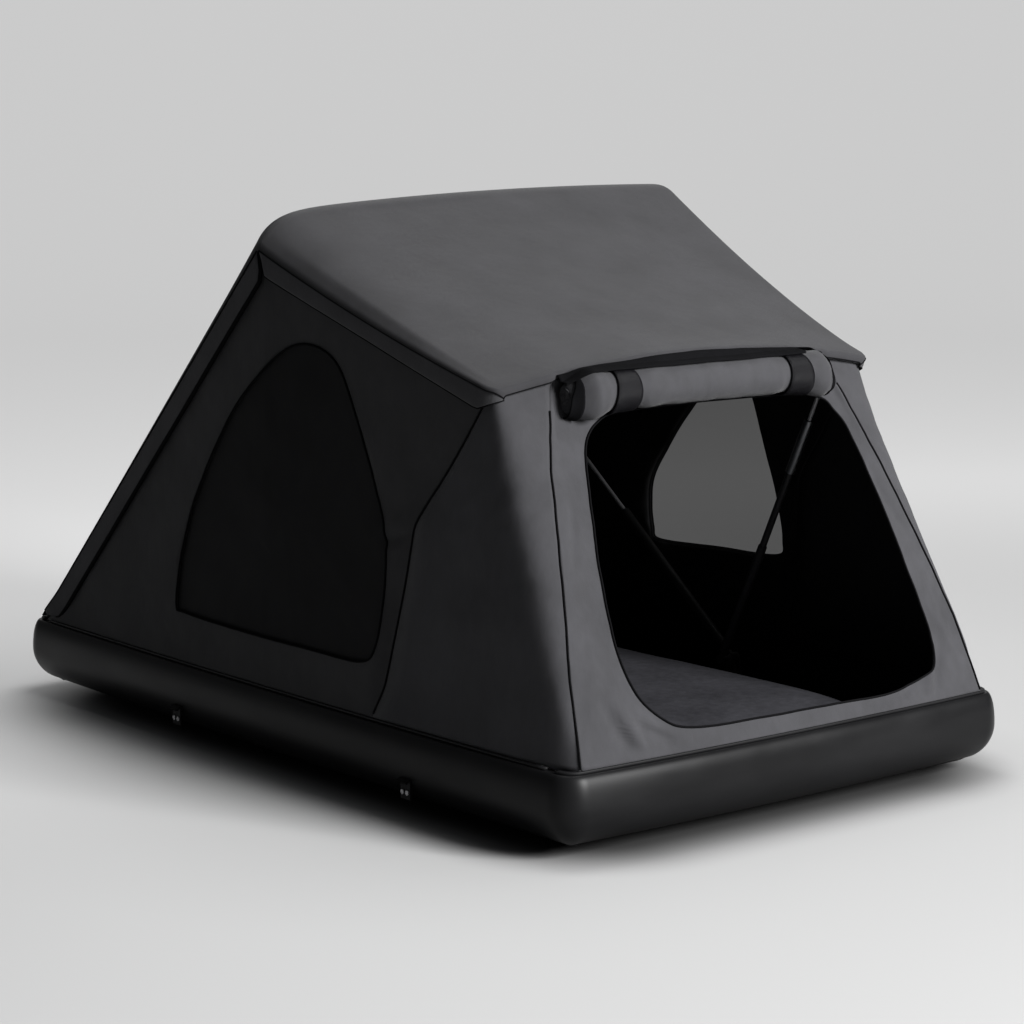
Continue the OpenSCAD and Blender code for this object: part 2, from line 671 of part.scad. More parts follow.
// Front wall and its door opening, as [x, z, corner radius]
front_top_z = front_at[1] - front_wall_top;
front_half_top = front_x - 112;
front_half_foot = seam_half_w - 29;
door_sill_z = wall_foot_z + 40;
door_head_z = front_at[1] - 60;
door_half_foot = front_half_foot - 107;
door_half_head = front_half_top - 43;
door_centre = [0, (door_sill_z + door_head_z) / 2];
door = [[door_half_foot, door_sill_z, 120], [door_half_head, door_head_z, 60],
    [-door_half_head, door_head_z, 60], [-door_half_foot, door_sill_z, 120]];
front_edge = along([[front_half_foot, wall_foot_z], [front_half_top, front_top_z],
    [-front_half_top, front_top_z], [-front_half_foot, wall_foot_z]], 100);

module front_wall() {
    grid = ring_grid(door_centre, along(rounded(door), 60), front_edge);
    color("#5f5f63") sheet([for (r = grid) [for (p = r) [p[0], front_y(p[0], p[1]) - wall_t, p[1]]]],
        [for (r = grid) [for (p = r) [p[0], front_y(p[0], p[1]), p[1]]]], ring = true);
}

module door_piping() {
    pts = along(rounded(door), 90);
    seat = wall_t + piping_d / 2 + gap;
    color("#101011")
        piping_loop([for (p = pts) [p[0], front_y(p[0], p[1]) - seat, p[1]]], [for (p = pts) [0, -1, 0]]);
}

// Corner panels: each turns from the side wall's crease round to the front wall's seam
panel_rows = 8;
panel_cols = 7;
panel_gap = 1;
function on_crease(t) = let (k = t * 3, i = min(2, floor(k)))
    let (p = crease[i] + (crease[i + 1] - crease[i]) * (k - i))
    [wall_x(p[0] - panel_gap, p[1]), p[0] - panel_gap, p[1]];
function on_seam(t) = let (z = wall_foot_z + (front_top_z - wall_foot_z) * t,
    x = front_half_foot + (front_half_top - front_half_foot) * t + panel_gap)
    [x, front_y(x, z), z];
function on_corner(t) = let (z = wall_foot_z + (front_at[1] - 12 - wall_foot_z) * t)
    [side_x(side_run, -wall_inset) + (wall_front_w + 6 - side_x(side_run, -wall_inset)) * t,
        -(seam_half_l - wall_inset) * (1 - t) + (front_at[0] - 6) * t, z];
function panel_point(t, k) = let (a = on_crease(t), b = on_corner(t), c = on_seam(t))
    a * pow(1 - k, 2) + b * 2 * k * (1 - k) + c * k * k;
function panel_grid(skin) = [for (j = [0 : panel_rows]) [for (i = [0 : panel_cols])
    let (k = 1 - i / panel_cols, p = panel_point(j / panel_rows, k))
    p + skin * [cos(80 * k), -sin(80 * k), 0]]];

module corner_panel() {
    color("#4a4a4d") sheet([for (r = panel_grid(wall_t)) [for (i = [panel_cols : -1 : 0]) r[i]]],
        [for (r = panel_grid(0)) [for (i = [panel_cols : -1 : 0]) r[i]]]);
}

module left_corner_panel() { side(false) corner_panel(); }
module right_corner_panel() { corner_panel(); }

// Rear frame, drawn flat along -Y from the hinge
bow_foot = 70;
bow_stub = 12;
module rear_leg() {
    color("#3c3d40") at_rear() difference() {
        union() {
            translate([leg_x, 0, 0]) difference() {
                bar_s(tube_start, rear_len - 2 * tube_start, leg_d);
                bar_s(tube_start + plug_l, rear_len - 2 * tube_start - 2 * plug_l, leg_d - 2 * tube_t);
            }
            plate_x(leg_x - tongue_w / 2, tongue_w) {
                circle(r = eye_r);
                translate([-tube_start - 1, -eye_r]) square([tube_start + 1, 2 * eye_r]);
            }
            for (s = [-1, 1]) plate_x(leg_x + s * (ear_in + ear_t / 2) - ear_t / 2, ear_t)
                translate([-rear_len, 0]) {
                    circle(r = eye_r);
                    translate([0, -eye_r]) square([tube_start + 1, 2 * eye_r]);
                }
            translate([leg_x, 0, 0]) bar_s(rear_len - tube_start, 9, 2 * (ear_in + ear_t));
            translate([0, -strut_reach, 0])
                bar_x(leg_x - leg_d / 2 - lug_h, lug_h + tube_t, 2 * eye_r);
            translate([0, -(rear_len - bow_foot), 0])
                bar_x(leg_x - leg_d / 2 - bow_stub, bow_stub + tube_t, bow_d);
        }
        bar_x(leg_x - tongue_w, 2 * tongue_w, pin_d + 2 * pin_fit);
        translate([0, -rear_len, 0]) bar_x(leg_x - 2 * tongue_w, 4 * tongue_w, pin_d + 2 * pin_fit);
    }
}

module left_rear_leg() { side(false) rear_leg(); }
module right_rear_leg() { rear_leg(); }

// Ridge bow: an arched tube from leg to leg, leaning forward to stay under the covers
bow_half = leg_x - leg_d / 2 - bow_stub - gap;
bow_power = 6;
bow_steps = 28;
bow_sides = 10;
bow_crest = [bow_foot + 46, 76];
function bow_rise(x) = 1 - pow(abs(x) / bow_half, bow_power);
function bow_slope(x) = norm(bow_crest) * bow_power * pow(abs(x) / bow_half, bow_power - 1) / bow_half;
bow_rings = [for (j = [0 : bow_steps])
    let (x = bow_half * sin(90 * (2 * j / bow_steps - 1)), h = bow_rise(x))
    let (k = sqrt(1 + pow(bow_slope(x), 2)))
    let (d = unit(bow_crest), e = [-d[1], d[0]])
    [for (i = [0 : bow_sides - 1]) let (a = 360 * i / bow_sides)
        let (q = bow_crest * h + bow_d / 2 * (d * k * cos(a) + e * sin(a)))
        [x, -(rear_len - bow_foot) - q[0], q[1]]]];

module ridge_bow() {
    color("#3c3d40") at_rear() tube([for (r = bow_rings) [for (i = [bow_sides - 1 : -1 : 0]) r[i]]]);
}

// Covers: a crowned sheet on each frame, with the crown highest at the ridge
cover_cols = 16;
cover_rows = 9;
crown_power = 12;
crown_round = 0.15;
cover_tail = 36;
cover_lip = 12;
front_lift = roof_rail_d / 2 + 0.5;
function arch(u) = (1 - crown_round) * (1 - pow(abs(u), crown_power)) + crown_round * (1 - u * u);
function spread(i) = sin(90 * (2 * i / cover_cols - 1));
function back_point(u, v, skin) = let (
    foot = -(cover_tail + end_bow * cos(rear_angle) * (1 - u * u)),
    s = foot + (rear_len - ridge_gap - foot) * v,
    swell = end_bow * sin(rear_angle) * (1 - u * u) * pow(1 - v, 3))
    [u * cover_half_w, -s, cover_lift + skin + swell + crown * pow(v, 1.6) * arch(u)];
function roof_point(u, v, skin) = let (s = ridge_gap + (roof_len + cover_lip - ridge_gap) * v)
    [u * (cover_half_w + (front_half_w - cover_half_w) * v), -s,
        cover_lift + (front_lift - cover_lift) * v + skin + crown * pow(1 - v, 1.35) * arch(u)
            + front_crown * v * (1 - u * u)];

function back_grid(skin) = [for (j = [cover_rows : -1 : 0])
    [for (i = [0 : cover_cols]) back_point(spread(i), j / cover_rows, skin)]];

module back_cover() {
    color("#4c4c50") at_rear() sheet(back_grid(cover_t), back_grid(0));
}

function roof_grid(skin) = [for (j = [cover_rows : -1 : 0])
    [for (i = [0 : cover_cols]) roof_point(spread(i), j / cover_rows, skin)]];

module roof_cover() {
    color("#55555a") at_roof() sheet(roof_grid(cover_t), roof_grid(0));
}

// Ridge strip: the rounded crest between the two covers
crest_rise = 9;
crest_rows = 5;
function crest_point(u, v, skin) = let (
    w = -roof_slope + (rear_angle + roof_slope) * v,
    r = cover_lift + skin + crown * arch(u) + crest_rise * arch(u) * sin(180 * v))
    [u * cover_half_w, ridge_at[0] + r * sin(w), ridge_at[1] + r * cos(w)];

function crest_grid(skin) = [for (j = [0 : crest_rows])
    [for (i = [0 : cover_cols]) crest_point(spread(i), j / crest_rows, skin)]];

module ridge_strip() {
    color("#505055") sheet(crest_grid(cover_t), crest_grid(0));
}

module ridge_pins() {
    color("#8a8b8d") for (r = [true, false]) side(r) translate([0, ridge_at[0], ridge_at[1]]) hinge_pin();
}

// Hems that hang from the edges of the covers, mitred where the two frames meet
hem_top = cover_lift - gap;
hem_foot = hinge_at[1] - wall_foot_z - 1;
mitre = hem * tan((rear_angle + roof_slope) / 2);
function hem_tail(z) = (z * cos(rear_angle) + hem_foot) / sin(rear_angle);
module rear_hem() {
    color("#3a3a3d") at_rear() plate_x(cover_half_w - wall_t, wall_t) polygon([
        [hem_tail(hem_top), hem_top], [hem_tail(hem_top - hem), hem_top - hem],
        [-rear_len + mitre + 1, hem_top - hem], [-rear_len + 1, hem_top]]);
}

module roof_hem() {
    turn = atan((cover_half_w - front_half_w) / (roof_len + cover_lip));
    front_top = front_lift - gap;
    color("#3a3a3d") at_roof() translate([cover_half_w - wall_t, 0, 0]) rotate([0, 0, -turn])
        plate_x(0, wall_t) polygon([[-1, hem_top], [-mitre - 1, hem_top - hem],
            [-roof_len, front_top - hem], [-roof_len - cover_lip, front_top]]);
}

module left_rear_hem() { side(false) rear_hem(); }
module right_rear_hem() { rear_hem(); }
module left_roof_hem() { side(false) roof_hem(); }
module right_roof_hem() { roof_hem(); }

// Roof frame, drawn flat along -Y from the ridge
rail_turn = atan((leg_x - front_x) / roof_len);
roof_rail_l = roof_len / cos(rail_turn);
rail_end = 12;
module roof_rail() {
    color("#3c3d40") at_roof() difference() {
        union() {
            translate([leg_x, 0, 0]) rotate([0, 0, -rail_turn]) difference() {
                bar_s(tube_start, roof_rail_l + rail_end - tube_start, roof_rail_d);
                bar_s(tube_start + plug_l, roof_rail_l + rail_end - tube_start - 2 * plug_l,
                    roof_rail_d - 2 * tube_t);
            }
            plate_x(leg_x - tongue_w / 2, tongue_w) {
                circle(r = eye_r);
                translate([-tube_start - 3, -eye_r + 1]) square([tube_start + 3, 2 * eye_r - 2]);
            }
            translate([0, -stay_reach, 0]) {
                bar_x(stay_lug_x, stay_rail_x - stay_lug_x, 2 * stay_eye_r);
                bar_x(stay_head_x, stay_lug_x - stay_head_x, pin_d);
                bar_x(stay_head_x - pin_head_h, pin_head_h, pin_head_d);
            }
        }
        bar_x(leg_x - tongue_w, 2 * tongue_w, pin_d + 2 * pin_fit);
    }
}

// Where a roof rail runs beside its stay, and the faces of the lug and of the pin's head
stay_rail_x = leg_x - stay_reach * tan(rail_turn) - roof_rail_d / 2 + tube_t;
stay_lug_x = stay_x + strut_eye_w / 2 + gap;
stay_head_x = stay_x - strut_eye_w / 2 - gap;

module left_roof_rail() { side(false) roof_rail(); }
module right_roof_rail() { roof_rail(); }

module front_rail() {
    l = 2 * (front_x - roof_rail_d / 2 * (1 / cos(rail_turn) + tan(rail_turn)) - gap);
    color("#3c3d40") at_roof() translate([0, -roof_len, 0]) difference() {
        bar_x(-l / 2, l, roof_rail_d);
        bar_x(-l / 2 - 1, l + 2, roof_rail_d - 2 * tube_t);
    }
}

// Rolled-up door under the roof's front edge, drawn in where its straps hold it
roll_at = front_at + [-roll_out, -roll_drop];
roll_nip = 3;
roll_end_r = 12;
module at_roll() {
    translate([0, roll_at[0], roll_at[1]]) children();
}

module door_roll() {
    r = roll_d / 2;
    dip = strap_w / 2 + 1;
    color("#606064") at_roll() rotate([0, 90, 0]) rotate_extrude() polygon(concat(
        [[0, -roll_half], [r - roll_end_r, -roll_half], [r - roll_end_r / 3, -roll_half + roll_end_r / 3],
            [r, -roll_half + roll_end_r]],
        [for (s = [-1, 1]) each [[r, s * strap_x - 2 * dip], [r - roll_nip, s * strap_x - dip],
            [r - roll_nip, s * strap_x + dip], [r, s * strap_x + 2 * dip]]],
        [[r, roll_half - roll_end_r], [r - roll_end_r / 3, roll_half - roll_end_r / 3],
            [r - roll_end_r, roll_half], [0, roll_half]]));
}

// A strap round the roll with a tab back to the front rail
module strap_loop(x, w, r) {
    reach = norm([roll_out, roll_drop]) - roof_rail_d / 2 - gap;
    lean = atan2(roll_drop, roll_out);
    at_roll() plate_x(x - w / 2, w) difference() {
        union() {
            circle(r = r + strap_t);
            rotate(lean) translate([0, -strap_t]) square([reach, 2 * strap_t]);
        }
        circle(r = r);
    }
}

module roll_straps() {
    color("#1b1b1d") for (s = [-1, 1]) strap_loop(s * strap_x, strap_w, roll_d / 2 - roll_nip + gap);
}

// Loops that hold the ends of the roll
loop_w = 34;
loop_inset = 30;
module roll_end_loops() {
    color("#1b1b1d") for (s = [-1, 1]) strap_loop(s * (roll_half - loop_inset), loop_w, roll_d / 2 + gap);
}

// Flap along the roof's front edge: from the cover's arched lip forward over the top of the roll
flap_half = roll_half - 15;
flap_t = 2.5;
flap_turn = 100;
flap_swell = 5;
flap_cols = 12;
flap_rows = 4;
flap_foot = roll_at + (roll_d / 2 + strap_t + 3 * gap) * [cos(flap_turn), sin(flap_turn)];
roof_out = [cos(roof_slope), sin(roof_slope)];
roof_up = [-sin(roof_slope), cos(roof_slope)];
function lip_at(x) = let (p = roof_point(x / front_half_w, 1, 0)) ridge_at + p[1] * roof_out + p[2] * roof_up;
function flap_point(x, k, skin) = let (
    a = lip_at(x) - gap * roof_out,
    d = unit(flap_foot - a),
    n = unit(roof_up * (1 - k) + [d[1], -d[0]] * k),
    q = a + (flap_foot - a) * k + flap_swell * sin(180 * k) * roof_up + skin * n)
    [x, q[0], q[1]];
function flap_grid(skin) = [for (j = [flap_rows : -1 : 0]) [for (i = [0 : flap_cols])
    flap_point(flap_half * (2 * i / flap_cols - 1), j / flap_rows, skin)]];

module front_flap() {
    color("#18181a") sheet(flap_grid(flap_t), flap_grid(0));
}

// Gas struts, drawn along +Y from their pin and raised to their slope
module at_strut(sx) {
    translate([sx * strut_x, strut_y, strut_z]) rotate([strut_rise, 0, 0]) children();
}

// A round bar along +Y, from s to s + l
module bar_f(s, l, d) {
    translate([0, s, 0]) rotate([-90, 0, 0]) cylinder(d = d, h = l);
}

// An eye across the strut at s, with a neck that reaches the bar beside it
module eye(s, neck_s, neck_l, r = strut_eye_r) {
    translate([0, s, 0]) bar_x(-strut_eye_w / 2, strut_eye_w, 2 * r);
    bar_f(neck_s, neck_l, strut_neck_d);
}

module strut_tube(sx) {
    color("#161617") at_strut(sx) difference() {
        union() {
            eye(0, 4, strut_neck);
            bar_f(strut_neck, strut_tube_end - strut_neck, strut_d);
        }
        bar_x(-strut_eye_w, 2 * strut_eye_w, pin_d + 2 * pin_fit);
        bar_f(strut_neck + plug_l, strut_tube_end - strut_neck - plug_l - gland_l, strut_d - 2 * strut_wall);
        bar_f(strut_tube_end - gland_l - 1, gland_l + 2, rod_d + 2 * pin_fit);
    }
}

module strut_rod(sx) {
    inner = strut_tube_end - rod_hold;
    piston_l = 8;
    color("#b9babc") at_strut(sx) union() {
        bar_f(inner, strut_len - strut_eye_r - inner + 2, rod_d);
        bar_f(inner, piston_l, strut_d - 2 * strut_wall - 2 * gap);
        eye(strut_len, strut_len - rod_end + 6, rod_end - 10);
        translate([0, strut_len, 0]) bar_x(sx > 0 ? 0 : -strut_stud, strut_stud, pin_d);
    }
}

// How far a gas strut's stud reaches towards the lug on its leg
strut_stud = leg_x - leg_d / 2 - lug_h - stud_gap - strut_x;

module left_strut_tube() { strut_tube(-1); }
module right_strut_tube() { strut_tube(1); }
module left_strut_rod() { strut_rod(-1); }
module right_strut_rod() { strut_rod(1); }

// Front stays, drawn along +Y and turned to lean forward
module at_stay(sx) {
    translate([sx * stay_x, strut_y, strut_z]) rotate([180 - stay_rise, 0, 0]) children();
}

// How far a stay's stud reaches towards the head of the strut pin
stay_stud = bracket_in - gap - pin_head_h - stud_gap - stay_x;

module stay_tube(sx) {
    color("#232325") at_stay(sx) difference() {
        union() {
            eye(0, 4, strut_neck);
            bar_f(strut_neck, stay_lower_len - strut_neck, stay_lower_d);
            bar_f(stay_lower_len - 1, stay_tube_len - stay_lower_len + 1, stay_d);
            bar_x(sx > 0 ? 0 : -stay_stud, stay_stud, pin_d);
        }
        bar_f(stay_lower_len, stay_tube_len - stay_lower_len - gland_l, rod_d + 2);
        bar_f(stay_tube_len - gland_l - 1, gland_l + 2, rod_d + 2 * pin_fit);
    }
}

// Lock collar on the upper end of a stay's tube
collar_wall = 3;
module stay_collar(sx) {
    color("#aeb0b3") at_stay(sx) difference() {
        bar_f(stay_tube_len - collar_len, collar_len, stay_d + 2 * collar_wall);
        bar_f(stay_tube_len - collar_len - 1, collar_len + 2, stay_d + 2 * gap / 3);
    }
}

stay_hold = 110;
module stay_rod(sx) {
    inner = stay_tube_len - stay_hold;
    color("#b9babc") at_stay(sx) difference() {
        union() {
            bar_f(inner, stay_len - stay_eye_r - inner + 2, rod_d);
            eye(stay_len, stay_len - rod_end + 6, rod_end - 10, stay_eye_r);
        }
        translate([0, stay_len, 0]) bar_x(-strut_eye_w, 2 * strut_eye_w, pin_d + 2 * pin_fit);
    }
}

module left_stay_tube() { stay_tube(-1); }
module right_stay_tube() { stay_tube(1); }
module left_stay_collar() { stay_collar(-1); }
module right_stay_collar() { stay_collar(1); }
module left_stay_rod() { stay_rod(-1); }
module right_stay_rod() { stay_rod(1); }

hull_tray();
floor_panel();
mattress();
left_mounting_rail();
right_mounting_rail();
rail_bolts();
left_rim_rail();
right_rim_rail();
front_rim_rail();
rear_rim_rail();
strap_hooks();
hook_screws();
left_hinge_bracket();
right_hinge_bracket();
hinge_screws();
hinge_pins();
left_strut_bracket();
right_strut_bracket();
strut_pins();
left_wall();
right_wall();
front_wall();
left_corner_panel();
right_corner_panel();
left_window_mesh();
right_window_mesh();
left_window_piping();
right_window_piping();
door_piping();
left_rear_leg();
right_rear_leg();
ridge_bow();
back_cover();
ridge_strip();
ridge_pins();
left_rear_hem();
right_rear_hem();
left_roof_hem();
right_roof_hem();
left_roof_rail();
right_roof_rail();
front_rail();
roof_cover();
front_flap();
door_roll();
roll_straps();
roll_end_loops();
left_strut_tube();
left_strut_rod();
right_strut_tube();
right_strut_rod();
left_stay_tube();
left_stay_collar();
left_stay_rod();
right_stay_tube();
right_stay_collar();
right_stay_rod();
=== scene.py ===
"""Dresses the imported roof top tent: cloth, mattress, rolled door, hull and finishes.

Lengths are in metres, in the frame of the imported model: -Y is the door end, +Y the hinge end, +Z up.
"""

from __future__ import annotations

import json
import logging
from dataclasses import dataclass
from enum import Enum
from typing import Optional, Sequence

import bmesh
import bpy
import numpy as np
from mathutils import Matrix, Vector

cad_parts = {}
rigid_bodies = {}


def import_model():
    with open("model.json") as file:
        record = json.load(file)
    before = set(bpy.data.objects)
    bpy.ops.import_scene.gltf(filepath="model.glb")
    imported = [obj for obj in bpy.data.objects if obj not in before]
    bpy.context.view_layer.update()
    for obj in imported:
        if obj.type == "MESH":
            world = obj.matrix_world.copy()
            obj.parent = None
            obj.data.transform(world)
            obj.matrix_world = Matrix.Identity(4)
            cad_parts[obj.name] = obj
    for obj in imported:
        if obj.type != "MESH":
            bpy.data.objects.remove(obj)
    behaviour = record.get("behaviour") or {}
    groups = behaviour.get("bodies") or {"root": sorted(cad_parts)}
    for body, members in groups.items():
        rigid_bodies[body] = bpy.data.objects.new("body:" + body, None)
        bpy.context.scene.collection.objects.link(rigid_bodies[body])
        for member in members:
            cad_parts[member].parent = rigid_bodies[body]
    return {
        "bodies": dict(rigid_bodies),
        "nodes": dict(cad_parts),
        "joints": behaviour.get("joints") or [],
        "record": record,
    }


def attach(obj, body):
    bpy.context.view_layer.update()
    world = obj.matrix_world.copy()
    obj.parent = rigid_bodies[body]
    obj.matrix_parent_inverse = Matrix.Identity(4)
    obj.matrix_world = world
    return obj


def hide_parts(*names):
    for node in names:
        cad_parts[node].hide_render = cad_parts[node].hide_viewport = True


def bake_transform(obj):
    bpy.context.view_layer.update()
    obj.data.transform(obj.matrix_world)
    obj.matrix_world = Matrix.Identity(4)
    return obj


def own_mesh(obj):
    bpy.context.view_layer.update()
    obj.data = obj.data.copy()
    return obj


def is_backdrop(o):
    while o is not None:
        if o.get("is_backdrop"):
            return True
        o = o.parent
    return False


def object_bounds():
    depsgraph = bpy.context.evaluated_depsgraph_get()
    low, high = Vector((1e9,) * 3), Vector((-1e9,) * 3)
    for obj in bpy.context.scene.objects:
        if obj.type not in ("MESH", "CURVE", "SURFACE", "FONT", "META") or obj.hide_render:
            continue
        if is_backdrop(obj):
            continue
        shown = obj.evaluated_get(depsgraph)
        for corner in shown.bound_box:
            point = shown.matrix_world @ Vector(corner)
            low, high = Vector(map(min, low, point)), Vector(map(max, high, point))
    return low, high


Array = np.ndarray
Points = Sequence[Sequence[float]]
Span = tuple[float, float]
Triple = tuple[float, float, float]
Pull = tuple[float, tuple[float, float], tuple[float, float], float]

LOG = logging.getLogger("roof_tent")
CLOTH_T = 0.0022


class Side(Enum):
    """The two sides of the tent, seen from the door end."""

    LEFT = -1
    RIGHT = 1

    @property
    def word(self) -> str:
        """The side's name as the node names have it."""
        return self.name.lower()


def unit(v: Array) -> Array:
    """Vectors along the last axis, each divided by its length."""
    return v / np.maximum(np.linalg.norm(v, axis=-1, keepdims=True), 1e-12)


def smooth(t: Array) -> Array:
    """The smooth step 3t^2 - 2t^3 of t held between 0 and 1."""
    t = np.clip(t, 0.0, 1.0)
    return t * t * (3.0 - 2.0 * t)


def hump(d: Array, width: float) -> Array:
    """A bell exp(-(d/width)^2) of the distance d."""
    return np.exp(-((d / width) ** 2))


def stack(*parts: Array) -> Array:
    """Joins coordinates of one shape, or of shapes that spread to one, into points."""
    return np.stack(np.broadcast_arrays(*parts), axis=-1)


def slack(a: Array, b: Array, size: float, seed: float = 0.0) -> Array:
    """Soft unevenness of cloth: a sum of seven crossed sine waves, each finer and weaker than the last.

    Args:
        a: First coordinate on the cloth, in metres.
        b: Second coordinate on the cloth, in metres.
        size: Length of the longest wave, in metres.
        seed: Shift of the waves, so that no two cloths match.

    Returns:
        Heights between about -1 and 1.
    """
    total = np.zeros(np.broadcast(a, b).shape)
    for k in range(7):
        turn = 2.4 * k + seed
        wave = size / (1.0 + 0.55 * k)
        phase = 5.1 * seed + 1.7 * k
        total = total + np.sin((a * np.cos(turn) + b * np.sin(turn)) * 2 * np.pi / wave + phase) / (1.0 + k)
    return total / 2.2


def crease_along(p: Array, start: Sequence[float], end: Sequence[float], width: float) -> Array:
    """A ridge of height 1 along the line from start to end, falling off over width and at both ends.

    Args:
        p: Points with two coordinates on the last axis.
        start: First end of the line.
        end: Last end of the line.
        width: Half width of the ridge.

    Returns:
        The ridge's height at each point.
    """
    a, b = np.array(start), np.array(end)
    along = b - a
    t = np.clip(((p - a) @ along) / (along @ along), 0.0, 1.0)
    away = np.linalg.norm(p - a - t[..., None] * along, axis=-1)
    return hump(away, width) * np.sin(np.pi * np.clip(0.08 + 0.84 * t, 0, 1))


def pulled(p: Array, pulls: Sequence[Pull]) -> Array:
    """Sum of the creases that pulls draw into a cloth, each as (height, start, end, half width)."""
    return sum(height * crease_along(p, start, end, width) for height, start, end, width in pulls)


def rounded(corners: Sequence[Sequence[float]], steps: int = 10) -> Array:
    """A closed outline whose corners are arcs.

    Args:
        corners: Points as [a, b, radius].
        steps: Steps along each arc.

    Returns:
        The outline's points, in the corners' order.
    """
    pts = np.array(corners, float)
    here, radius = pts[:, :2], pts[:, 2:]
    to_last = unit(np.roll(here, 1, axis=0) - here)
    to_next = unit(np.roll(here, -1, axis=0) - here)
    half = np.arccos(np.clip(np.sum(to_last * to_next, axis=1), -1, 1))[:, None] / 2
    centre = here + unit(to_last + to_next) * radius / np.sin(half)
    start = here + to_last * radius / np.tan(half) - centre
    cross = -to_last[:, 0] * to_next[:, 1] + to_last[:, 1] * to_next[:, 0]
    turn = (np.pi - 2 * half) * np.sign(cross)[:, None] * np.linspace(0, 1, steps + 1)[None, :]
    x = start[:, :1] * np.cos(turn) - start[:, 1:] * np.sin(turn)
    y = start[:, :1] * np.sin(turn) + start[:, 1:] * np.cos(turn)
    return (np.stack([x, y], axis=-1) + centre[:, None, :]).reshape(-1, 2)


def spline(points: Sequence[Sequence[float]], steps: int = 14, closed: bool = True) -> Array:
    """A smooth line through points: a cubic on each stretch, with slopes from the neighbouring points.

    Args:
        points: Points that the line passes through.
        steps: Steps along each stretch.
        closed: Whether the last point joins the first.

    Returns:
        The line's points.
    """
    p = np.array(points, float)
    last = np.roll(p, 1, axis=0) if closed else np.vstack([2 * p[:1] - p[1:2], p[:-1]])
    then = np.roll(p, -1, axis=0) if closed else np.vstack([p[1:], 2 * p[-1:] - p[-2:-1]])
    slope = 0.5 * (then - last)
    ahead = np.roll(slope, -1, axis=0)
    t = np.linspace(0, 1, steps, endpoint=False)[None, :, None]
    line = ((2 * t ** 3 - 3 * t ** 2 + 1) * p[:, None] + (t ** 3 - 2 * t ** 2 + t) * slope[:, None]
            + (3 * t ** 2 - 2 * t ** 3) * then[:, None] + (t ** 3 - t ** 2) * ahead[:, None])
    if closed:
        return line.reshape(-1, p.shape[1])
    return np.vstack([line[:-1].reshape(-1, p.shape[1]), p[-1:]])


def resample(outline: Array, step: float, closed: bool = True) -> Array:
    """Points at even spacing along an outline, by interpolation on its arc length.

    Args:
        outline: Points on the last axis.
        step: Spacing, rounded so that it fits.
        closed: Whether the last point joins the first.

    Returns:
        The new points.
    """
    line = np.vstack([outline, outline[:1]]) if closed else outline
    length = run_of(line)
    count = max(3, int(round(length[-1] / step)))
    where = np.linspace(0, length[-1], count + 1)
    where = where[:-1] if closed else where
    return np.stack([np.interp(where, length, line[:, k]) for k in range(line.shape[1])], axis=-1)


def reach(centre: Array, directions: Array, outline: Array) -> Array:
    """How far each direction goes from the centre to a closed outline: the nearest crossing of ray and edge.

    Args:
        centre: Start of the rays.
        directions: Ray directions, one a row.
        outline: The outline's points.

    Returns:
        A length for each direction, in lengths of that direction.
    """
    edge = np.roll(outline, -1, axis=0) - outline
    to = outline - centre
    k = directions[:, None, 0] * edge[None, :, 1] - directions[:, None, 1] * edge[None, :, 0]
    k = np.where(np.abs(k) < 1e-12, 1e-12, k)
    t = (to[None, :, 0] * edge[None, :, 1] - to[None, :, 1] * edge[None, :, 0]) / k
    w = (to[None, :, 0] * directions[:, None, 1] - to[None, :, 1] * directions[:, None, 0]) / k
    good = (t > 1e-6) & (w > -1e-9) & (w < 1 + 1e-9)
    return np.min(np.where(good, t, 1e9), axis=1)


def ring_sheet(centre: Array, hole: Array, edge: Array, rings: int) -> Array:
    """A flat sheet round a hole: on the ray to each edge point, rings run evenly from the hole to the edge.

    Args:
        centre: A point inside the hole.
        hole: Outline of the hole.
        edge: Outline of the sheet.
        rings: Steps from the hole to the edge.

    Returns:
        Points of shape (rings + 1, edge points, 2).
    """
    d = edge - centre
    inner = centre + d * reach(centre, d, hole)[:, None]
    k = np.linspace(0, 1, rings + 1)[:, None, None]
    return inner + (edge - inner) * k


def run_of(path: Array) -> Array:
    """Length along a path up to each of its points, down the first axis."""
    step = np.linalg.norm(np.diff(path, axis=0), axis=-1)
    return np.concatenate([np.zeros_like(step[:1]), np.cumsum(step, axis=0)])


def cord(path: Array, outward: Sequence[float], radius: float, sides: int = 8, closed: bool = False
         ) -> tuple[Array, Array]:
    """A round cord along a path: a circle in the plane of the outward and the sideways direction.

    Args:
        path: Points of the path.
        outward: A direction that is never along the path.
        radius: Radius of the cord.
        sides: Points round the circle.
        closed: Whether the last point joins the first.

    Returns:
        The cord's grid of points and of cloth coordinates.
    """
    ahead = np.roll(path, -1, axis=0) - np.roll(path, 1, axis=0) if closed else np.gradient(path, axis=0)
    tangent = unit(ahead)
    across = unit(np.cross(tangent, np.broadcast_to(np.array(outward), path.shape)))
    up = np.cross(across, tangent)
    a = np.linspace(0, 2 * np.pi, sides, endpoint=False)
    ring = np.cos(a)[None, :, None] * up[:, None] + np.sin(a)[None, :, None] * across[:, None]
    return path[:, None] + radius * ring, stack(run_of(path)[:, None], a[None, :] * radius)


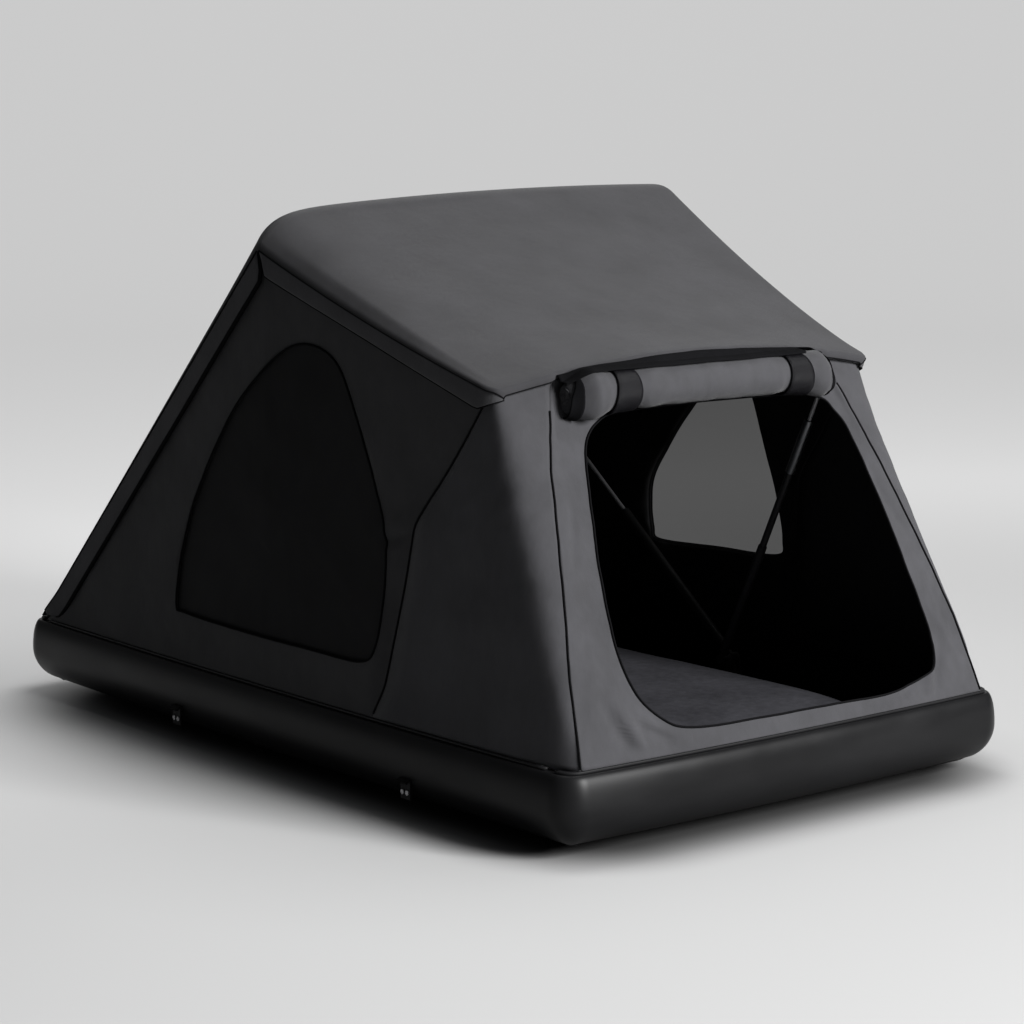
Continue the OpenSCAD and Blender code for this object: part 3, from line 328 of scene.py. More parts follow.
@dataclass(frozen=True)
class TentShape:
    """Sizes of the tent and the surfaces that its pieces share."""

    seam_half_w: float = 0.638
    seam_half_l: float = 1.078
    side_bow: float = 0.015
    end_bow: float = 0.014
    corner_r: float = 0.045
    rim_z: float = 0.185
    foot_z: float = 0.1913
    wall_inset: float = 0.0115
    hinge_y: float = 1.022
    hinge_z: float = 0.207
    rear_len: float = 1.387
    rear_angle: float = np.radians(44.5)
    roof_len: float = 0.790
    roof_slope: float = np.radians(18.75)
    cover_half_w: float = 0.624
    front_half_w: float = 0.560
    crown: float = 0.100
    lift: float = 0.013
    front_lift: float = 0.0115
    cover_t: float = 0.004
    wall_half_w: float = 0.604
    wall_front_w: float = 0.548
    wall_t: float = 0.003
    hem: float = 0.052
    front_bulge: float = 0.018
    front_gap: float = 0.012

    @property
    def side_run(self) -> float:
        """Half length of the tray's long sides between the corners."""
        return self.seam_half_l - self.corner_r

    @property
    def end_run(self) -> float:
        """Half length of the tray's short ends between the corners."""
        return self.seam_half_w - self.corner_r

    @property
    def ridge(self) -> tuple[float, float]:
        """The ridge line as (y, z)."""
        return (self.hinge_y - self.rear_len * np.cos(self.rear_angle),
                self.hinge_z + self.rear_len * np.sin(self.rear_angle))

    @property
    def front(self) -> tuple[float, float]:
        """The roof frame's front line as (y, z)."""
        y, z = self.ridge
        return y - self.roof_len * np.cos(self.roof_slope), z - self.roof_len * np.sin(self.roof_slope)

    def side_x(self, y: Array, off: Array) -> Array:
        """Half width of the tray at y, set off from the seam: a parabola, and an arc at the corners."""
        y = np.abs(y)
        bowed = self.seam_half_w + off + self.side_bow * (1 - (y / self.side_run) ** 2)
        arc = self.end_run + np.sqrt(np.maximum(0, (self.corner_r + off) ** 2 - (y - self.side_run) ** 2))
        return np.where(y < self.side_run, bowed, arc)

    def end_y(self, x: Array, off: Array) -> Array:
        """Half length of the tray at x, set off from the seam: a parabola, and an arc at the corners."""
        x = np.abs(x)
        bowed = self.seam_half_l + off + self.end_bow * (1 - (x / self.end_run) ** 2)
        arc = self.side_run + np.sqrt(np.maximum(0, (self.corner_r + off) ** 2 - (x - self.end_run) ** 2))
        return np.where(x < self.end_run, bowed, arc)

    def at_rear(self, x: Array, s: Array, h: Array) -> Array:
        """Places x, the distance s from the rear hinge and the height h over the rear frame's plane."""
        c, k = np.cos(self.rear_angle), np.sin(self.rear_angle)
        return stack(x, self.hinge_y - s * c + h * k, self.hinge_z + s * k + h * c)

    def at_roof(self, x: Array, s: Array, h: Array) -> Array:
        """Places x, the distance s from the ridge and the height h over the roof frame's plane."""
        c, k = np.cos(self.roof_slope), np.sin(self.roof_slope)
        y, z = self.ridge
        return stack(x, y - s * c - h * k, z - s * k + h * c)

    def frame_z(self, y: Array) -> Array:
        """Height of the frame's line at y, on the rear slope and on the roof."""
        ry, rz = self.ridge
        rear = self.hinge_z + (self.hinge_y - y) * np.tan(self.rear_angle)
        return np.where(y > ry, rear, rz - (ry - y) * np.tan(self.roof_slope))

    def wall_x(self, y: Array, z: Array) -> Array:
        """Half width of the side walls, from the tray's side in to the frame by a power of the rise."""
        ry, _ = self.ridge
        fy, _ = self.front
        top = np.where(y > ry, self.wall_half_w,
                       self.wall_half_w - (self.wall_half_w - self.wall_front_w) * (ry - y) / (ry - fy))
        rise = np.clip((z - self.foot_z) / np.maximum(0.06, self.frame_z(y) - self.foot_z), 0, 1)
        base = self.side_x(y, -self.wall_inset)
        return base + (top - base) * rise ** 0.7

    def front_y(self, x: Array, z: Array) -> Array:
        """Place of the front wall, from the tray's end back to the frame, bulged by half a sine wave."""
        fy, fz = self.front
        h = np.clip((z - self.foot_z) / (fz - self.foot_z), 0, 1)
        base = self.end_y(x, -self.wall_inset)
        return -(base * (1 - h) + (self.front_gap - fy) * h + self.front_bulge * np.sin(np.pi * h))


SHAPE = TentShape()


def make_piece(name: str, points: Array, *, uv: Optional[Array] = None, wrap_u: bool = False,
               wrap_v: bool = False, caps: bool = False,
               inside: Sequence[float] = (0.0, 0.0, 0.55)) -> bpy.types.Object:
    """Makes a smooth mesh from a grid of points, with its faces turned away from a point inside.

    Args:
        name: Name of the piece.
        points: Grid of shape (rows, columns, 3).
        uv: Grid of shape (rows, columns, 2) in metres of cloth, or None for x and y of the points.
        wrap_u: Joins the last column to the first.
        wrap_v: Joins the last row to the first.
        caps: Closes the first and last row with a face each.
        inside: A point that the faces look away from.

    Returns:
        The new object, at the origin.
    """
    rows, cols = points.shape[:2]
    index = np.arange(rows * cols).reshape(rows, cols)
    wide = np.hstack([index, index[:, :1]]) if wrap_u else index
    wide = np.vstack([wide, wide[:1]]) if wrap_v else wide
    quads = np.stack([wide[:-1, :-1], wide[:-1, 1:], wide[1:, 1:], wide[1:, :-1]], axis=-1).reshape(-1, 4)
    flat = points.reshape(-1, 3)
    a, b, c, d = (flat[quads[:, k]] for k in range(4))
    outward = np.sum(np.cross(c - a, d - b) * ((a + b + c + d) / 4 - np.array(inside)))
    ends = [index[0][::-1].tolist(), index[-1].tolist()] if caps else []
    if outward < 0:
        quads = quads[:, ::-1]
        ends = [e[::-1] for e in ends]
    faces = quads.tolist() + ends
    mesh = bpy.data.meshes.new(name)
    mesh.from_pydata(flat.tolist(), [], faces)
    cloth = (points[..., :2] if uv is None else uv).reshape(-1, 2)
    loops = np.concatenate([quads.ravel()] + [np.array(e) for e in ends]) if ends else quads.ravel()
    layer = mesh.uv_layers.new(name="cloth")
    layer.data.foreach_set("uv", cloth[loops].astype(np.float32).ravel())
    mesh.polygons.foreach_set("use_smooth", np.ones(len(mesh.polygons), bool))
    mesh.update()
    piece = bpy.data.objects.new(name, mesh)
    bpy.context.scene.collection.objects.link(piece)
    return piece


def thicken(piece: bpy.types.Object, thickness: float, lining: Optional[bpy.types.Material] = None) -> None:
    """Gives a sheet its thickness, inwards, with a lining of its own on the inner face.

    Args:
        piece: The sheet, whose outer finish is set already.
        thickness: Thickness in metres.
        lining: Finish of the inner face, or None for the outer one.
    """
    solid = piece.modifiers.new("thickness", "SOLIDIFY")
    solid.thickness = thickness
    solid.offset = -1.0
    if lining is not None:
        piece.data.materials.append(lining)
        solid.material_offset = 1


def sheet_size(points: Array, wrap_u: bool = False) -> tuple[tuple[float, float], float]:
    """Flat size of a grid of cloth: its longest row and column, and its area. A narrow ring counts as a band.

    Args:
        points: Grid of shape (rows, columns, 3).
        wrap_u: Whether the last column joins the first.

    Returns:
        (width, length) and the area in square metres, from the grid's triangles.
    """
    full = np.concatenate([points, points[:, :1]], axis=1) if wrap_u else points
    a, b, c, d = full[:-1, :-1], full[:-1, 1:], full[1:, 1:], full[1:, :-1]
    area = 0.5 * np.sum(np.linalg.norm(np.cross(b - a, c - a), axis=-1)
                        + np.linalg.norm(np.cross(c - a, d - a), axis=-1))
    if wrap_u:
        size = np.sort(np.ptp(full.reshape(-1, 3), axis=0))[::-1]
        if area < 0.31 * size[0] * size[1]:
            band = np.sum(np.linalg.norm(np.diff(full[len(full) // 2], axis=0), axis=-1))
            return (float(band), float(area / band / 0.98)), float(area)
        return (float(size[0]), float(max(size[1], area / size[0] / 0.999))), float(area)
    across = np.max(np.sum(np.linalg.norm(np.diff(full, axis=1), axis=-1), axis=1))
    down = np.max(np.sum(np.linalg.norm(np.diff(full, axis=0), axis=-1), axis=0))
    return (float(across), float(down)), float(area)


class Nodes:
    """A small writer for a material's node tree."""

    def __init__(self, name: str) -> None:
        """Starts a material with one Principled BSDF."""
        self.material = bpy.data.materials.new(name)
        self.material.use_nodes = True
        self.tree = self.material.node_tree
        self.shader = self.tree.nodes["Principled BSDF"]
        self.coords = self.tree.nodes.new("ShaderNodeTexCoord")

    def node(self, kind: str, **settings: object) -> bpy.types.Node:
        """Adds a node of that kind, with properties set by name."""
        made = self.tree.nodes.new("ShaderNode" + kind)
        for key, value in settings.items():
            setattr(made, key, value)
        return made

    def link(self, source: bpy.types.NodeSocket, target: bpy.types.NodeSocket) -> None:
        """Links one socket to another."""
        self.tree.links.new(source, target)

    def mapped(self, coords: str, scale: Sequence[float]) -> bpy.types.NodeSocket:
        """Texture coordinates of that name, scaled."""
        mapping = self.node("Mapping")
        mapping.inputs["Scale"].default_value = tuple(scale)
        self.link(self.coords.outputs[coords], mapping.inputs["Vector"])
        return mapping.outputs["Vector"]

    def noise(self, coords: str, scale: float, detail: float = 4.0, stretch: Sequence[float] = (1, 1, 1)
              ) -> bpy.types.NodeSocket:
        """A noise of that scale, one over metres, on those coordinates."""
        made = self.node("TexNoise")
        made.inputs["Scale"].default_value = scale
        made.inputs["Detail"].default_value = detail
        self.link(self.mapped(coords, stretch), made.inputs["Vector"])
        return made.outputs["Fac"]

    def bands(self, coords: str, pitch: float, direction: str) -> bpy.types.NodeSocket:
        """Soft ribs of that pitch across X or Y."""
        made = self.node("TexWave", wave_type="BANDS", bands_direction=direction, wave_profile="SIN")
        made.inputs["Scale"].default_value = 1.0
        made.inputs["Distortion"].default_value = 0.0
        k = 2 * np.pi / (20.0 * pitch)
        self.link(self.mapped(coords, (k, k, k)), made.inputs["Vector"])
        return made.outputs["Fac"]

    def math(self, operation: str, a: bpy.types.NodeSocket, b: object) -> bpy.types.NodeSocket:
        """A Math node on a socket and a socket or number."""
        made = self.node("Math", operation=operation)
        self.link(a, made.inputs[0])
        if isinstance(b, bpy.types.NodeSocket):
            self.link(b, made.inputs[1])
        else:
            made.inputs[1].default_value = b
        return made.outputs[0]

    def colour(self, fac: bpy.types.NodeSocket, stops: Sequence[tuple[float, Sequence[float]]]) -> None:
        """Drives the base colour by a ramp of (place, colour) stops."""
        ramp = self.node("ValToRGB")
        elements = ramp.color_ramp.elements
        while len(elements) < len(stops):
            elements.new(0.5)
        for element, (place, rgb) in zip(elements, stops):
            element.position = place
            element.color = (*rgb, 1.0)
        self.link(fac, ramp.inputs["Fac"])
        self.link(ramp.outputs["Color"], self.shader.inputs["Base Color"])

    def roughness(self, fac: bpy.types.NodeSocket, low: float, high: float) -> None:
        """Drives the roughness between two values."""
        span = self.node("MapRange")
        span.inputs["From Min"].default_value = 0.3
        span.inputs["From Max"].default_value = 0.7
        span.inputs["To Min"].default_value = low
        span.inputs["To Max"].default_value = high
        self.link(fac, span.inputs["Value"])
        self.link(span.outputs["Result"], self.shader.inputs["Roughness"])

    def bump(self, layers: Sequence[tuple[bpy.types.NodeSocket, float, float]]) -> None:
        """Chains bump layers of (height, distance in metres, strength) into the normal."""
        last = None
        for height, distance, strength in layers:
            made = self.node("Bump")
            made.inputs["Distance"].default_value = distance
            made.inputs["Strength"].default_value = strength
            self.link(height, made.inputs["Height"])
            if last is not None:
                self.link(last, made.inputs["Normal"])
            last = made.outputs["Normal"]
        self.link(last, self.shader.inputs["Normal"])

    def value(self, **sockets: object) -> None:
        """Sets plain values on the shader's sockets, named with _ for a space."""
        for key, value in sockets.items():
            self.shader.inputs[key.replace("_", " ")].default_value = value


def shade(rgb: Sequence[float], k: float) -> Triple:
    """A colour made lighter or darker by the factor k."""
    return tuple(min(1.0, c * k) for c in rgb)


@dataclass(frozen=True)
class Canvas:
    """Woven canvas: crossed threads, a mottled dye and a soft nap."""

    name: str
    rgb: Triple
    thread: float = 0.0011
    mottle: float = 0.23
    nap: float = 0.06
    rough: float = 0.86
    shine: float = 0.2
    coords: str = "UV"

    def build(self) -> bpy.types.Material:
        """Makes the material."""
        n = Nodes(self.name)
        cloud = n.noise("Object", 7.0, 8.0)
        grain = n.noise("Object", 60.0, 5.0, (1.0, 1.0, 0.45))
        fac = n.math("ADD", n.math("MULTIPLY", cloud, 0.55), n.math("MULTIPLY", grain, 0.45))
        n.colour(fac, [(0.34, shade(self.rgb, 1 - self.mottle)), (0.5, self.rgb),
                       (0.66, shade(self.rgb, 1 + self.mottle))])
        n.roughness(grain, self.rough - 0.06, self.rough + 0.06)
        weave = n.math("ADD", n.bands(self.coords, self.thread, "X"), n.bands(self.coords, self.thread, "Y"))
        n.bump([(cloud, 0.009, 0.3), (grain, 0.0014, 0.35), (weave, 0.00025, 0.4)])
        n.value(Sheen_Weight=self.nap, Sheen_Roughness=0.5, Specular_IOR_Level=self.shine)
        return n.material


@dataclass(frozen=True)
class Webbing:
    """Woven webbing: close ribs across the band."""

    name: str
    rgb: Triple
    rib: float = 0.0022

    def build(self) -> bpy.types.Material:
        """Makes the material."""
        n = Nodes(self.name)
        grain = n.noise("Object", 120.0, 3.0)
        n.colour(grain, [(0.3, shade(self.rgb, 0.7)), (0.7, shade(self.rgb, 1.35))])
        n.roughness(grain, 0.40, 0.54)
        ribs, threads = n.bands("UV", self.rib, "X"), n.bands("UV", self.rib * 0.5, "Y")
        n.bump([(ribs, 0.0006, 0.6), (threads, 0.0003, 0.5)])
        n.value(Specular_IOR_Level=0.09)
        return n.material


@dataclass(frozen=True)
class Moulded:
    """Moulded plastic: a fine leathery grain, faint wipe marks in the gloss."""

    name: str
    rgb: Triple
    rough: float = 0.42
    grain: float = 420.0

    def build(self) -> bpy.types.Material:
        """Makes the material."""
        n = Nodes(self.name)
        cloud = n.noise("Object", 5.0, 5.0, (1.0, 1.0, 3.0))
        grain = n.noise("Object", self.grain, 2.0)
        n.colour(cloud, [(0.3, shade(self.rgb, 0.86)), (0.7, shade(self.rgb, 1.18))])
        n.roughness(cloud, self.rough - 0.05, self.rough + 0.06)
        n.bump([(grain, 0.0002, 0.22)])
        n.value(Specular_IOR_Level=0.12)
        return n.material


@dataclass(frozen=True)
class Metal:
    """Metal, bare or powder coated: drawn lines along the bar or a fine orange peel."""

    name: str
    rgb: Triple
    metallic: float = 1.0
    rough: float = 0.35
    lines: float = 900.0

    def build(self) -> bpy.types.Material:
        """Makes the material."""
        n = Nodes(self.name)
        drawn = n.noise("Object", self.lines, 2.0, (1.0, 0.03, 1.0))
        cloud = n.noise("Object", 14.0, 4.0)
        n.colour(cloud, [(0.3, shade(self.rgb, 0.85)), (0.7, shade(self.rgb, 1.12))])
        n.roughness(drawn, self.rough - 0.07, self.rough + 0.09)
        n.bump([(drawn, 0.0001, 0.12)])
        n.value(Metallic=self.metallic)
        return n.material


@dataclass(frozen=True)
class Netting:
    """Fine insect mesh: dark threads that let a little light through."""

    name: str
    rgb: Triple
    cover: float = 0.87
    pitch: float = 0.0016

    def build(self) -> bpy.types.Material:
        """Makes the material."""
        n = Nodes(self.name)
        cloud = n.noise("Object", 6.0, 4.0)
        n.colour(cloud, [(0.3, shade(self.rgb, 0.7)), (0.7, shade(self.rgb, 1.3))])
        threads = n.math("ADD", n.bands("UV", self.pitch, "X"), n.bands("UV", self.pitch, "Y"))
        n.bump([(threads, 0.0003, 0.5)])
        n.value(Roughness=0.8, Alpha=self.cover, Specular_IOR_Level=0.15)
        return n.material


@dataclass(frozen=True)
class Cord:
    """Black piping: a tight rubbery cloth with a twist in it."""

    name: str
    rgb: Triple

    def build(self) -> bpy.types.Material:
        """Makes the material."""
        n = Nodes(self.name)
        grain = n.noise("Object", 300.0, 3.0)
        n.colour(grain, [(0.3, shade(self.rgb, 0.75)), (0.7, shade(self.rgb, 1.3))])
        n.roughness(grain, 0.8, 0.95)
        n.bump([(n.bands("UV", 0.004, "X"), 0.0003, 0.35)])
        n.value(Specular_IOR_Level=0.04)
        return n.material


class Finishes:
    """Every finish of the tent, made once."""

    def __init__(self) -> None:
        """Builds the materials."""
        self.wall = Canvas("wall_canvas", (0.0245, 0.0243, 0.0268)).build()
        # painted shade: the side walls take a darker copy of the wall canvas, for the shade they stand in
        self.side = Canvas("side_canvas", (0.0185, 0.0184, 0.0196)).build()
        self.hem = Canvas("hem_canvas", (0.0270, 0.0268, 0.0290)).build()
        self.flap = Canvas("black_flap", (0.0030, 0.0030, 0.0034), nap=0.0, rough=0.9, shine=0.02).build()
        self.cover = Canvas("cover_canvas", (0.0165, 0.0163, 0.0182)).build()
        self.lining = Canvas("black_lining", (0.0045, 0.0045, 0.005), nap=0.0, rough=0.9).build()
        self.mattress = Canvas("mattress_cloth", (0.0275, 0.0275, 0.0310), thread=0.0014, nap=0.0, rough=0.95,
                               shine=0.0, coords="Object").build()
        self.webbing = Webbing("black_webbing", (0.0030, 0.0029, 0.0036)).build()
        # painted shade: the left window's mesh is nearly opaque and black, standing in for the dark inside
        # seen through it; the right one lets light through as the real mesh does
        self.netting = {Side.LEFT: Netting("left_mesh", (0.003, 0.003, 0.0034), cover=0.992).build(),
                        Side.RIGHT: Netting("right_mesh", (0.003, 0.003, 0.0034), cover=0.88).build()}
        self.piping = Cord("black_piping", (0.0022, 0.0022, 0.0025)).build()
        self.hull = Moulded("hull_plastic", (0.0040, 0.0040, 0.0043), rough=0.36).build()
        self.rim = Moulded("rim_plastic", (0.005, 0.005, 0.0055), rough=0.5).build()
        self.board = Moulded("floor_board", (0.035, 0.035, 0.037), rough=0.6, grain=160.0).build()
        coat = {"metallic": 0.0, "lines": 300.0}
        self.tube = Metal("black_coat", (0.010, 0.010, 0.011), rough=0.5, **coat).build()
        self.cylinder = Metal("black_cylinder", (0.0025, 0.0025, 0.0028), rough=0.6, **coat).build()
        self.rail = Metal("rail_aluminium", (0.55, 0.56, 0.57), rough=0.42).build()
        self.collar = Metal("collar_aluminium", (0.30, 0.31, 0.32), rough=0.34).build()
        # painted reflection: the polished rods are light grey and only part metal, so that they show bright
        # inside the dark tent as their reflection would
        self.rod = Metal("polished_rod", (0.30, 0.30, 0.31), metallic=0.35, rough=0.35).build()
        self.steel = Metal("zinc_steel", (0.35, 0.35, 0.36), rough=0.4).build()


def dress(piece: bpy.types.Object, finish: bpy.types.Material) -> None:
    """Gives a piece its outer finish, in its one material slot.

    Args:
        piece: The piece.
        finish: Its material.
    """
    piece.data.materials.clear()
    piece.data.materials.append(finish)
    LOG.info("dressed %s with %s", piece.name, finish.name)


def turn_out(piece: bpy.types.Object, centre: Array) -> None:
    """Turns a thin bar's faces outwards, judged by the sign of its volume: the sum of a.(b x c)/6."""
    mesh = piece.data
    mesh.calc_loop_triangles()
    tri = np.zeros(len(mesh.loop_triangles) * 3, np.int32)
    mesh.loop_triangles.foreach_get("vertices", tri)
    co = np.zeros(len(mesh.vertices) * 3, np.float32)
    mesh.vertices.foreach_get("co", co)
    p = co.reshape(-1, 3)[tri.reshape(-1, 3)] - centre
    if np.sum(p[:, 0] * np.cross(p[:, 1], p[:, 2])) < 0:
        mesh.flip_normals()


def sew_cord(finish: bpy.types.Material, name: str, body: str, path: Array, outward: Sequence[float],
             radius: float, sides: int = 8, closed: bool = False) -> bpy.types.Object:
    """A dark cord sewn along a path on the cloth.

    Args:
        finish: Its material.
        name: Name of the piece.
        body: Body that it rides on.
        path: Points of the path.
        outward: Direction away from the cloth.
        radius: Radius of the cord.
        sides: Points round its section.
        closed: Whether the path's last point joins the first.

    Returns:
        The new piece.
    """
    points, uv = cord(path, outward, radius, sides, closed)
    piece = make_piece(name, points, uv=uv, wrap_u=True, wrap_v=closed, caps=not closed)
    turn_out(piece, np.mean(path, axis=0))
    dress(piece, finish)
    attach(piece, body)
    return piece


def lay(points: Array,
        ring: bool = False) -> None:
    """Works out a sheet's flat size and area, and keeps neither.

    Args:
        points: Its grid of points.
        ring: Whether the grid's last column joins the first.
    """
    flat, area = sheet_size(points, ring)


def fold_flat(piece: bpy.types.Object) -> None:
    """Gives a wall's cloth a mesh of its own."""
    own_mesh(piece)


@dataclass
class Hull:
    """The moulded tray and the rim channel."""

    finishes: Finishes
    bulge: float = 0.020
    bulge_z: float = 0.112
    tuck: float = 0.090
    rail_h: float = 0.025
    rim_w: float = 0.026
    floor_z: float = 0.033
    fillet: float = 0.024
    channel_out: float = 0.004
    channel_w: float = 0.012
    channel_h: float = 0.006
    channel_r: float = 0.0016
    lip_r: float = 0.003
    side_n: int = 59
    end_n: int = 39
    arc_n: int = 15

    def outline(self, off: Array) -> Array:
        """The tray's outline at offsets from the seam, as (offsets, points, 2): bowed sides joined by arcs.

        Args:
            off: Offsets from the seam, one a row.

        Returns:
            The points, turning left from the right-hand side.
        """
        off = np.asarray(off, float)[:, None]
        s = np.linspace(-1, 1, self.side_n + 2)[1:-1][None, :]
        e = np.linspace(-1, 1, self.end_n + 2)[1:-1][None, :]
        a = np.linspace(0, np.pi / 2, self.arc_n)[None, :]
        y, x = SHAPE.side_run * s, SHAPE.end_run * e

        def arc(sx: int, sy: int, turn: float) -> Array:
            r = SHAPE.corner_r + off
            return stack(sx * SHAPE.end_run + r * np.cos(a + turn),
                         sy * SHAPE.side_run + r * np.sin(a + turn))

        return np.concatenate([
            stack(SHAPE.side_x(y, off), y + 0 * off), arc(1, 1, 0.0),
            stack(-x + 0 * off, SHAPE.end_y(x, off)), arc(-1, 1, np.pi / 2),
            stack(-SHAPE.side_x(y, off), -y + 0 * off), arc(-1, -1, np.pi),
            stack(x + 0 * off, -SHAPE.end_y(x, off)), arc(1, -1, 1.5 * np.pi)], axis=1)

    def section(self) -> Array:
        """The hull's section as (offset, z): two quarter ellipses up the side, then rim, wall and floor."""
        a = np.linspace(0, np.pi / 2, 22)
        low = stack(self.bulge - self.tuck * (1 - np.sin(a)),
                    self.rail_h + (self.bulge_z - self.rail_h) * (1 - np.cos(a)))
        high = stack(self.bulge * np.cos(a[1:]), self.bulge_z + (SHAPE.rim_z - self.bulge_z) * np.sin(a[1:]))
        z, w = SHAPE.rim_z, self.rim_w
        lip = np.array([[-0.002, z], [-0.5 * w, z], [-w + self.lip_r, z], [-w, z - self.lip_r],
                        [-w, 0.5 * (z + self.floor_z)], [-w, self.floor_z + self.fillet]])
        b = np.linspace(0, np.pi / 2, 7)[1:]
        foot = stack(-w - self.fillet * (1 - np.cos(b)), self.floor_z + self.fillet * (1 - np.sin(b)))
        return np.vstack([low, high, lip, foot])

    def build(self) -> None:
        """Carries the section round the outline, and the channel's section along each of its four lengths."""
        section = self.section()
        ring = self.outline(section[:, 0])
        z = np.broadcast_to(section[:, 1][:, None], ring.shape[:2])
        points = np.concatenate([ring, z[..., None]], axis=-1)
        hull = make_piece("hull_shell", points, wrap_u=True, caps=True, inside=(0, 0, 0.05))
        dress(hull, self.finishes.hull)
        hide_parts("hull_tray")
        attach(hull, "tray")
        self.channels()

    def channels(self) -> None:
        """The rim channel in four lengths: a rounded bar whose section stands on the rim."""
        w, h, r = self.channel_w, self.channel_h, self.channel_r
        bar = rounded([[0, 0, r], [w, 0, r], [w, h, r], [0, h, r]], 3)
        ring = self.outline(-self.channel_out - w + bar[:, 0])
        z = SHAPE.rim_z + bar[:, 1]
        points = np.concatenate([ring, np.broadcast_to(z[:, None], ring.shape[:2])[..., None]], axis=-1)
        end_n = 2 * self.arc_n + self.end_n
        first = 0
        for word, count in (("right", self.side_n), ("rear", end_n), ("left", self.side_n), ("front", end_n)):
            bars = np.swapaxes(points[:, first:first + count], 0, 1)
            piece = make_piece(f"{word}_rim_channel", bars, wrap_u=True, caps=True, inside=(0, 0, 0.1))
            turn_out(piece, np.mean(bars[count // 2], axis=0))
            dress(piece, self.finishes.rim)
            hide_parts(f"{word}_rim_rail")
            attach(piece, "tray")
            first += count


@dataclass
class Canopy:
    """The cover over the top: one cloth from the hinge end over the ridge to the door end, with hung hems."""

    finishes: Finishes
    tail: float = 0.036
    lip: float = 0.016
    front_crown: float = 0.054
    crest: float = 0.009
    left_power: float = 13.0
    right_power: float = 75.0
    crown_round: float = 0.15
    crown_lean: float = 0.16
    crown_fall: float = 1.6
    droop: float = 0.013
    edge_r: float = 0.007
    front_r: float = 0.010
    front_hang: float = 0.005
    ear: float = 0.007
    corner: float = 0.030
    seam_r: float = 0.0017
    rear_binding: float = 0.0050
    # the rear hems' black binding: real hem tape, made thick so that it also paints the dark shadow line
    # under the hem
    least_hem: float = 0.004
    hem_flare: float = 0.0025
    hem_wave: float = 0.0012
    cloth_t: float = 0.003
    turn_from: Span = (0.07, 0.08)
    turn_to: Span = (-0.04, 0.11)
    cols: int = 128

    def across(self) -> Array:
        """Places across the cloth from -1 to 1, closer together at the edges."""
        return np.sin(np.pi / 2 * np.linspace(-1, 1, self.cols + 1))

    def arch(self, u: Array) -> Array:
        """The crown's profile across: 1 - |u|^n, softer on the left, rounded a little and leaning."""
        full = 1 - np.abs(u) ** np.where(u < 0, self.left_power, self.right_power)
        return (1 - self.crown_round) * full + self.crown_round * (1 - u * u) + self.crown_lean * u * full

    def soft_edge(self, u: Array, half: Array) -> tuple[Array, Array]:
        """The cloth's edge across: even out to the edge, then a quarter circle down.

        Args:
            u: Places across, from -1 to 1.
            half: Half width of the cloth.

        Returns:
            x, and how far the cloth has turned down there.
        """
        start = 1 - 1.3 * self.edge_r / half
        turn = np.clip((np.abs(u) - start) / (1 - start), 0, 1) * np.pi / 2
        x = np.minimum(np.abs(u) / start, 1) * (half - self.edge_r) + self.edge_r * np.sin(turn)
        return np.sign(u) * x, self.edge_r * (1 - np.cos(turn))

    def sag(self, u: Array, v: Array) -> Array:
        """How far the roof's edge hangs outside the rail: half a sine wave along, only beyond the rail."""
        return self.droop * np.sin(np.pi * np.clip(v, 0, 1)) ** 0.8 * smooth((np.abs(u) - 0.955) / 0.045)

    def back(self, u: Array, v: Array, skin: float) -> Array:
        """The rear slope: v runs from the hinge end to the ridge, and the crown grows with v^1.6."""
        foot = -(self.tail + SHAPE.end_bow * np.cos(SHAPE.rear_angle) * (1 - u * u))
        s = foot + (SHAPE.rear_len - foot) * v
        swell = SHAPE.end_bow * np.sin(SHAPE.rear_angle) * (1 - u * u) * (1 - v) ** 3
        wave = 0.0016 * slack(u * SHAPE.cover_half_w, s, 0.9, 1.0) * (1 - u ** 8)
        x, turned = self.soft_edge(u, SHAPE.cover_half_w)
        return SHAPE.at_rear(x, s, SHAPE.lift + skin + swell + SHAPE.crown * v ** 1.6 * self.arch(u) + wave
                             - turned * smooth(v / 0.09))

    def front_half(self, v: Array, s: Array) -> Array:
        """Half width of the roof: a straight taper, with an arc that rounds the front corners off in plan."""
        half = SHAPE.cover_half_w + (SHAPE.front_half_w - SHAPE.cover_half_w) * v
        past = np.clip((s - (SHAPE.roof_len + self.lip - self.corner)) / self.corner, 0, 1)
        return half - self.corner * (1 - np.sqrt(1 - past * past))

    def roof(self, u: Array, v: Array, skin: float, turn: Array = 0.0, hang: Array = 0.0) -> Array:
        """The roof: v runs from the ridge to the door end, and the crown falls with a power of 1 - v.

        Args:
            u: Places across, from -1 to 1.
            v: Places along, from 0 at the ridge to 1 where the front edge begins to turn down.
            skin: Distance out from the cloth's inner face.
            turn: How far the front edge has turned down, as an angle up to a right one.
            hang: How far the cloth hangs below the turned edge.

        Returns:
            The points.
        """
        s = (SHAPE.roof_len + self.lip - self.front_r) * v + self.front_r * np.sin(turn)
        half = self.front_half(v, s)
        lift = SHAPE.lift + (SHAPE.front_lift - SHAPE.lift) * v
        wave = (0.0016 * slack(u * half, s, 0.8, 2.0) + 0.0010 * slack(u * half, s, 0.27, 5.0)) * (1 - u ** 8)
        x, turned = self.soft_edge(u, half)
        s = s + self.ear * v ** 8 * smooth((np.abs(x) - 0.385) / 0.03)
        drop = turned + self.front_r * (1 - np.cos(turn)) + hang
        return SHAPE.at_roof(x, s, lift + skin + SHAPE.crown * (1 - v) ** self.crown_fall * self.arch(u)
                             + self.front_crown * v * (1 - u * u) - self.sag(u, v) + wave - drop)

    def lip_at(self, x: Array, turn: float) -> Array:
        """Points of the turned front edge at given x."""
        s = SHAPE.roof_len + self.lip - self.front_r * (1 - np.sin(turn))
        half = self.front_half(np.ones(1), np.array([s]))[0]
        u = x / (half - self.edge_r) * (1 - 1.3 * self.edge_r / half)
        return self.roof(u, np.ones(np.shape(u)), SHAPE.cover_t, turn)

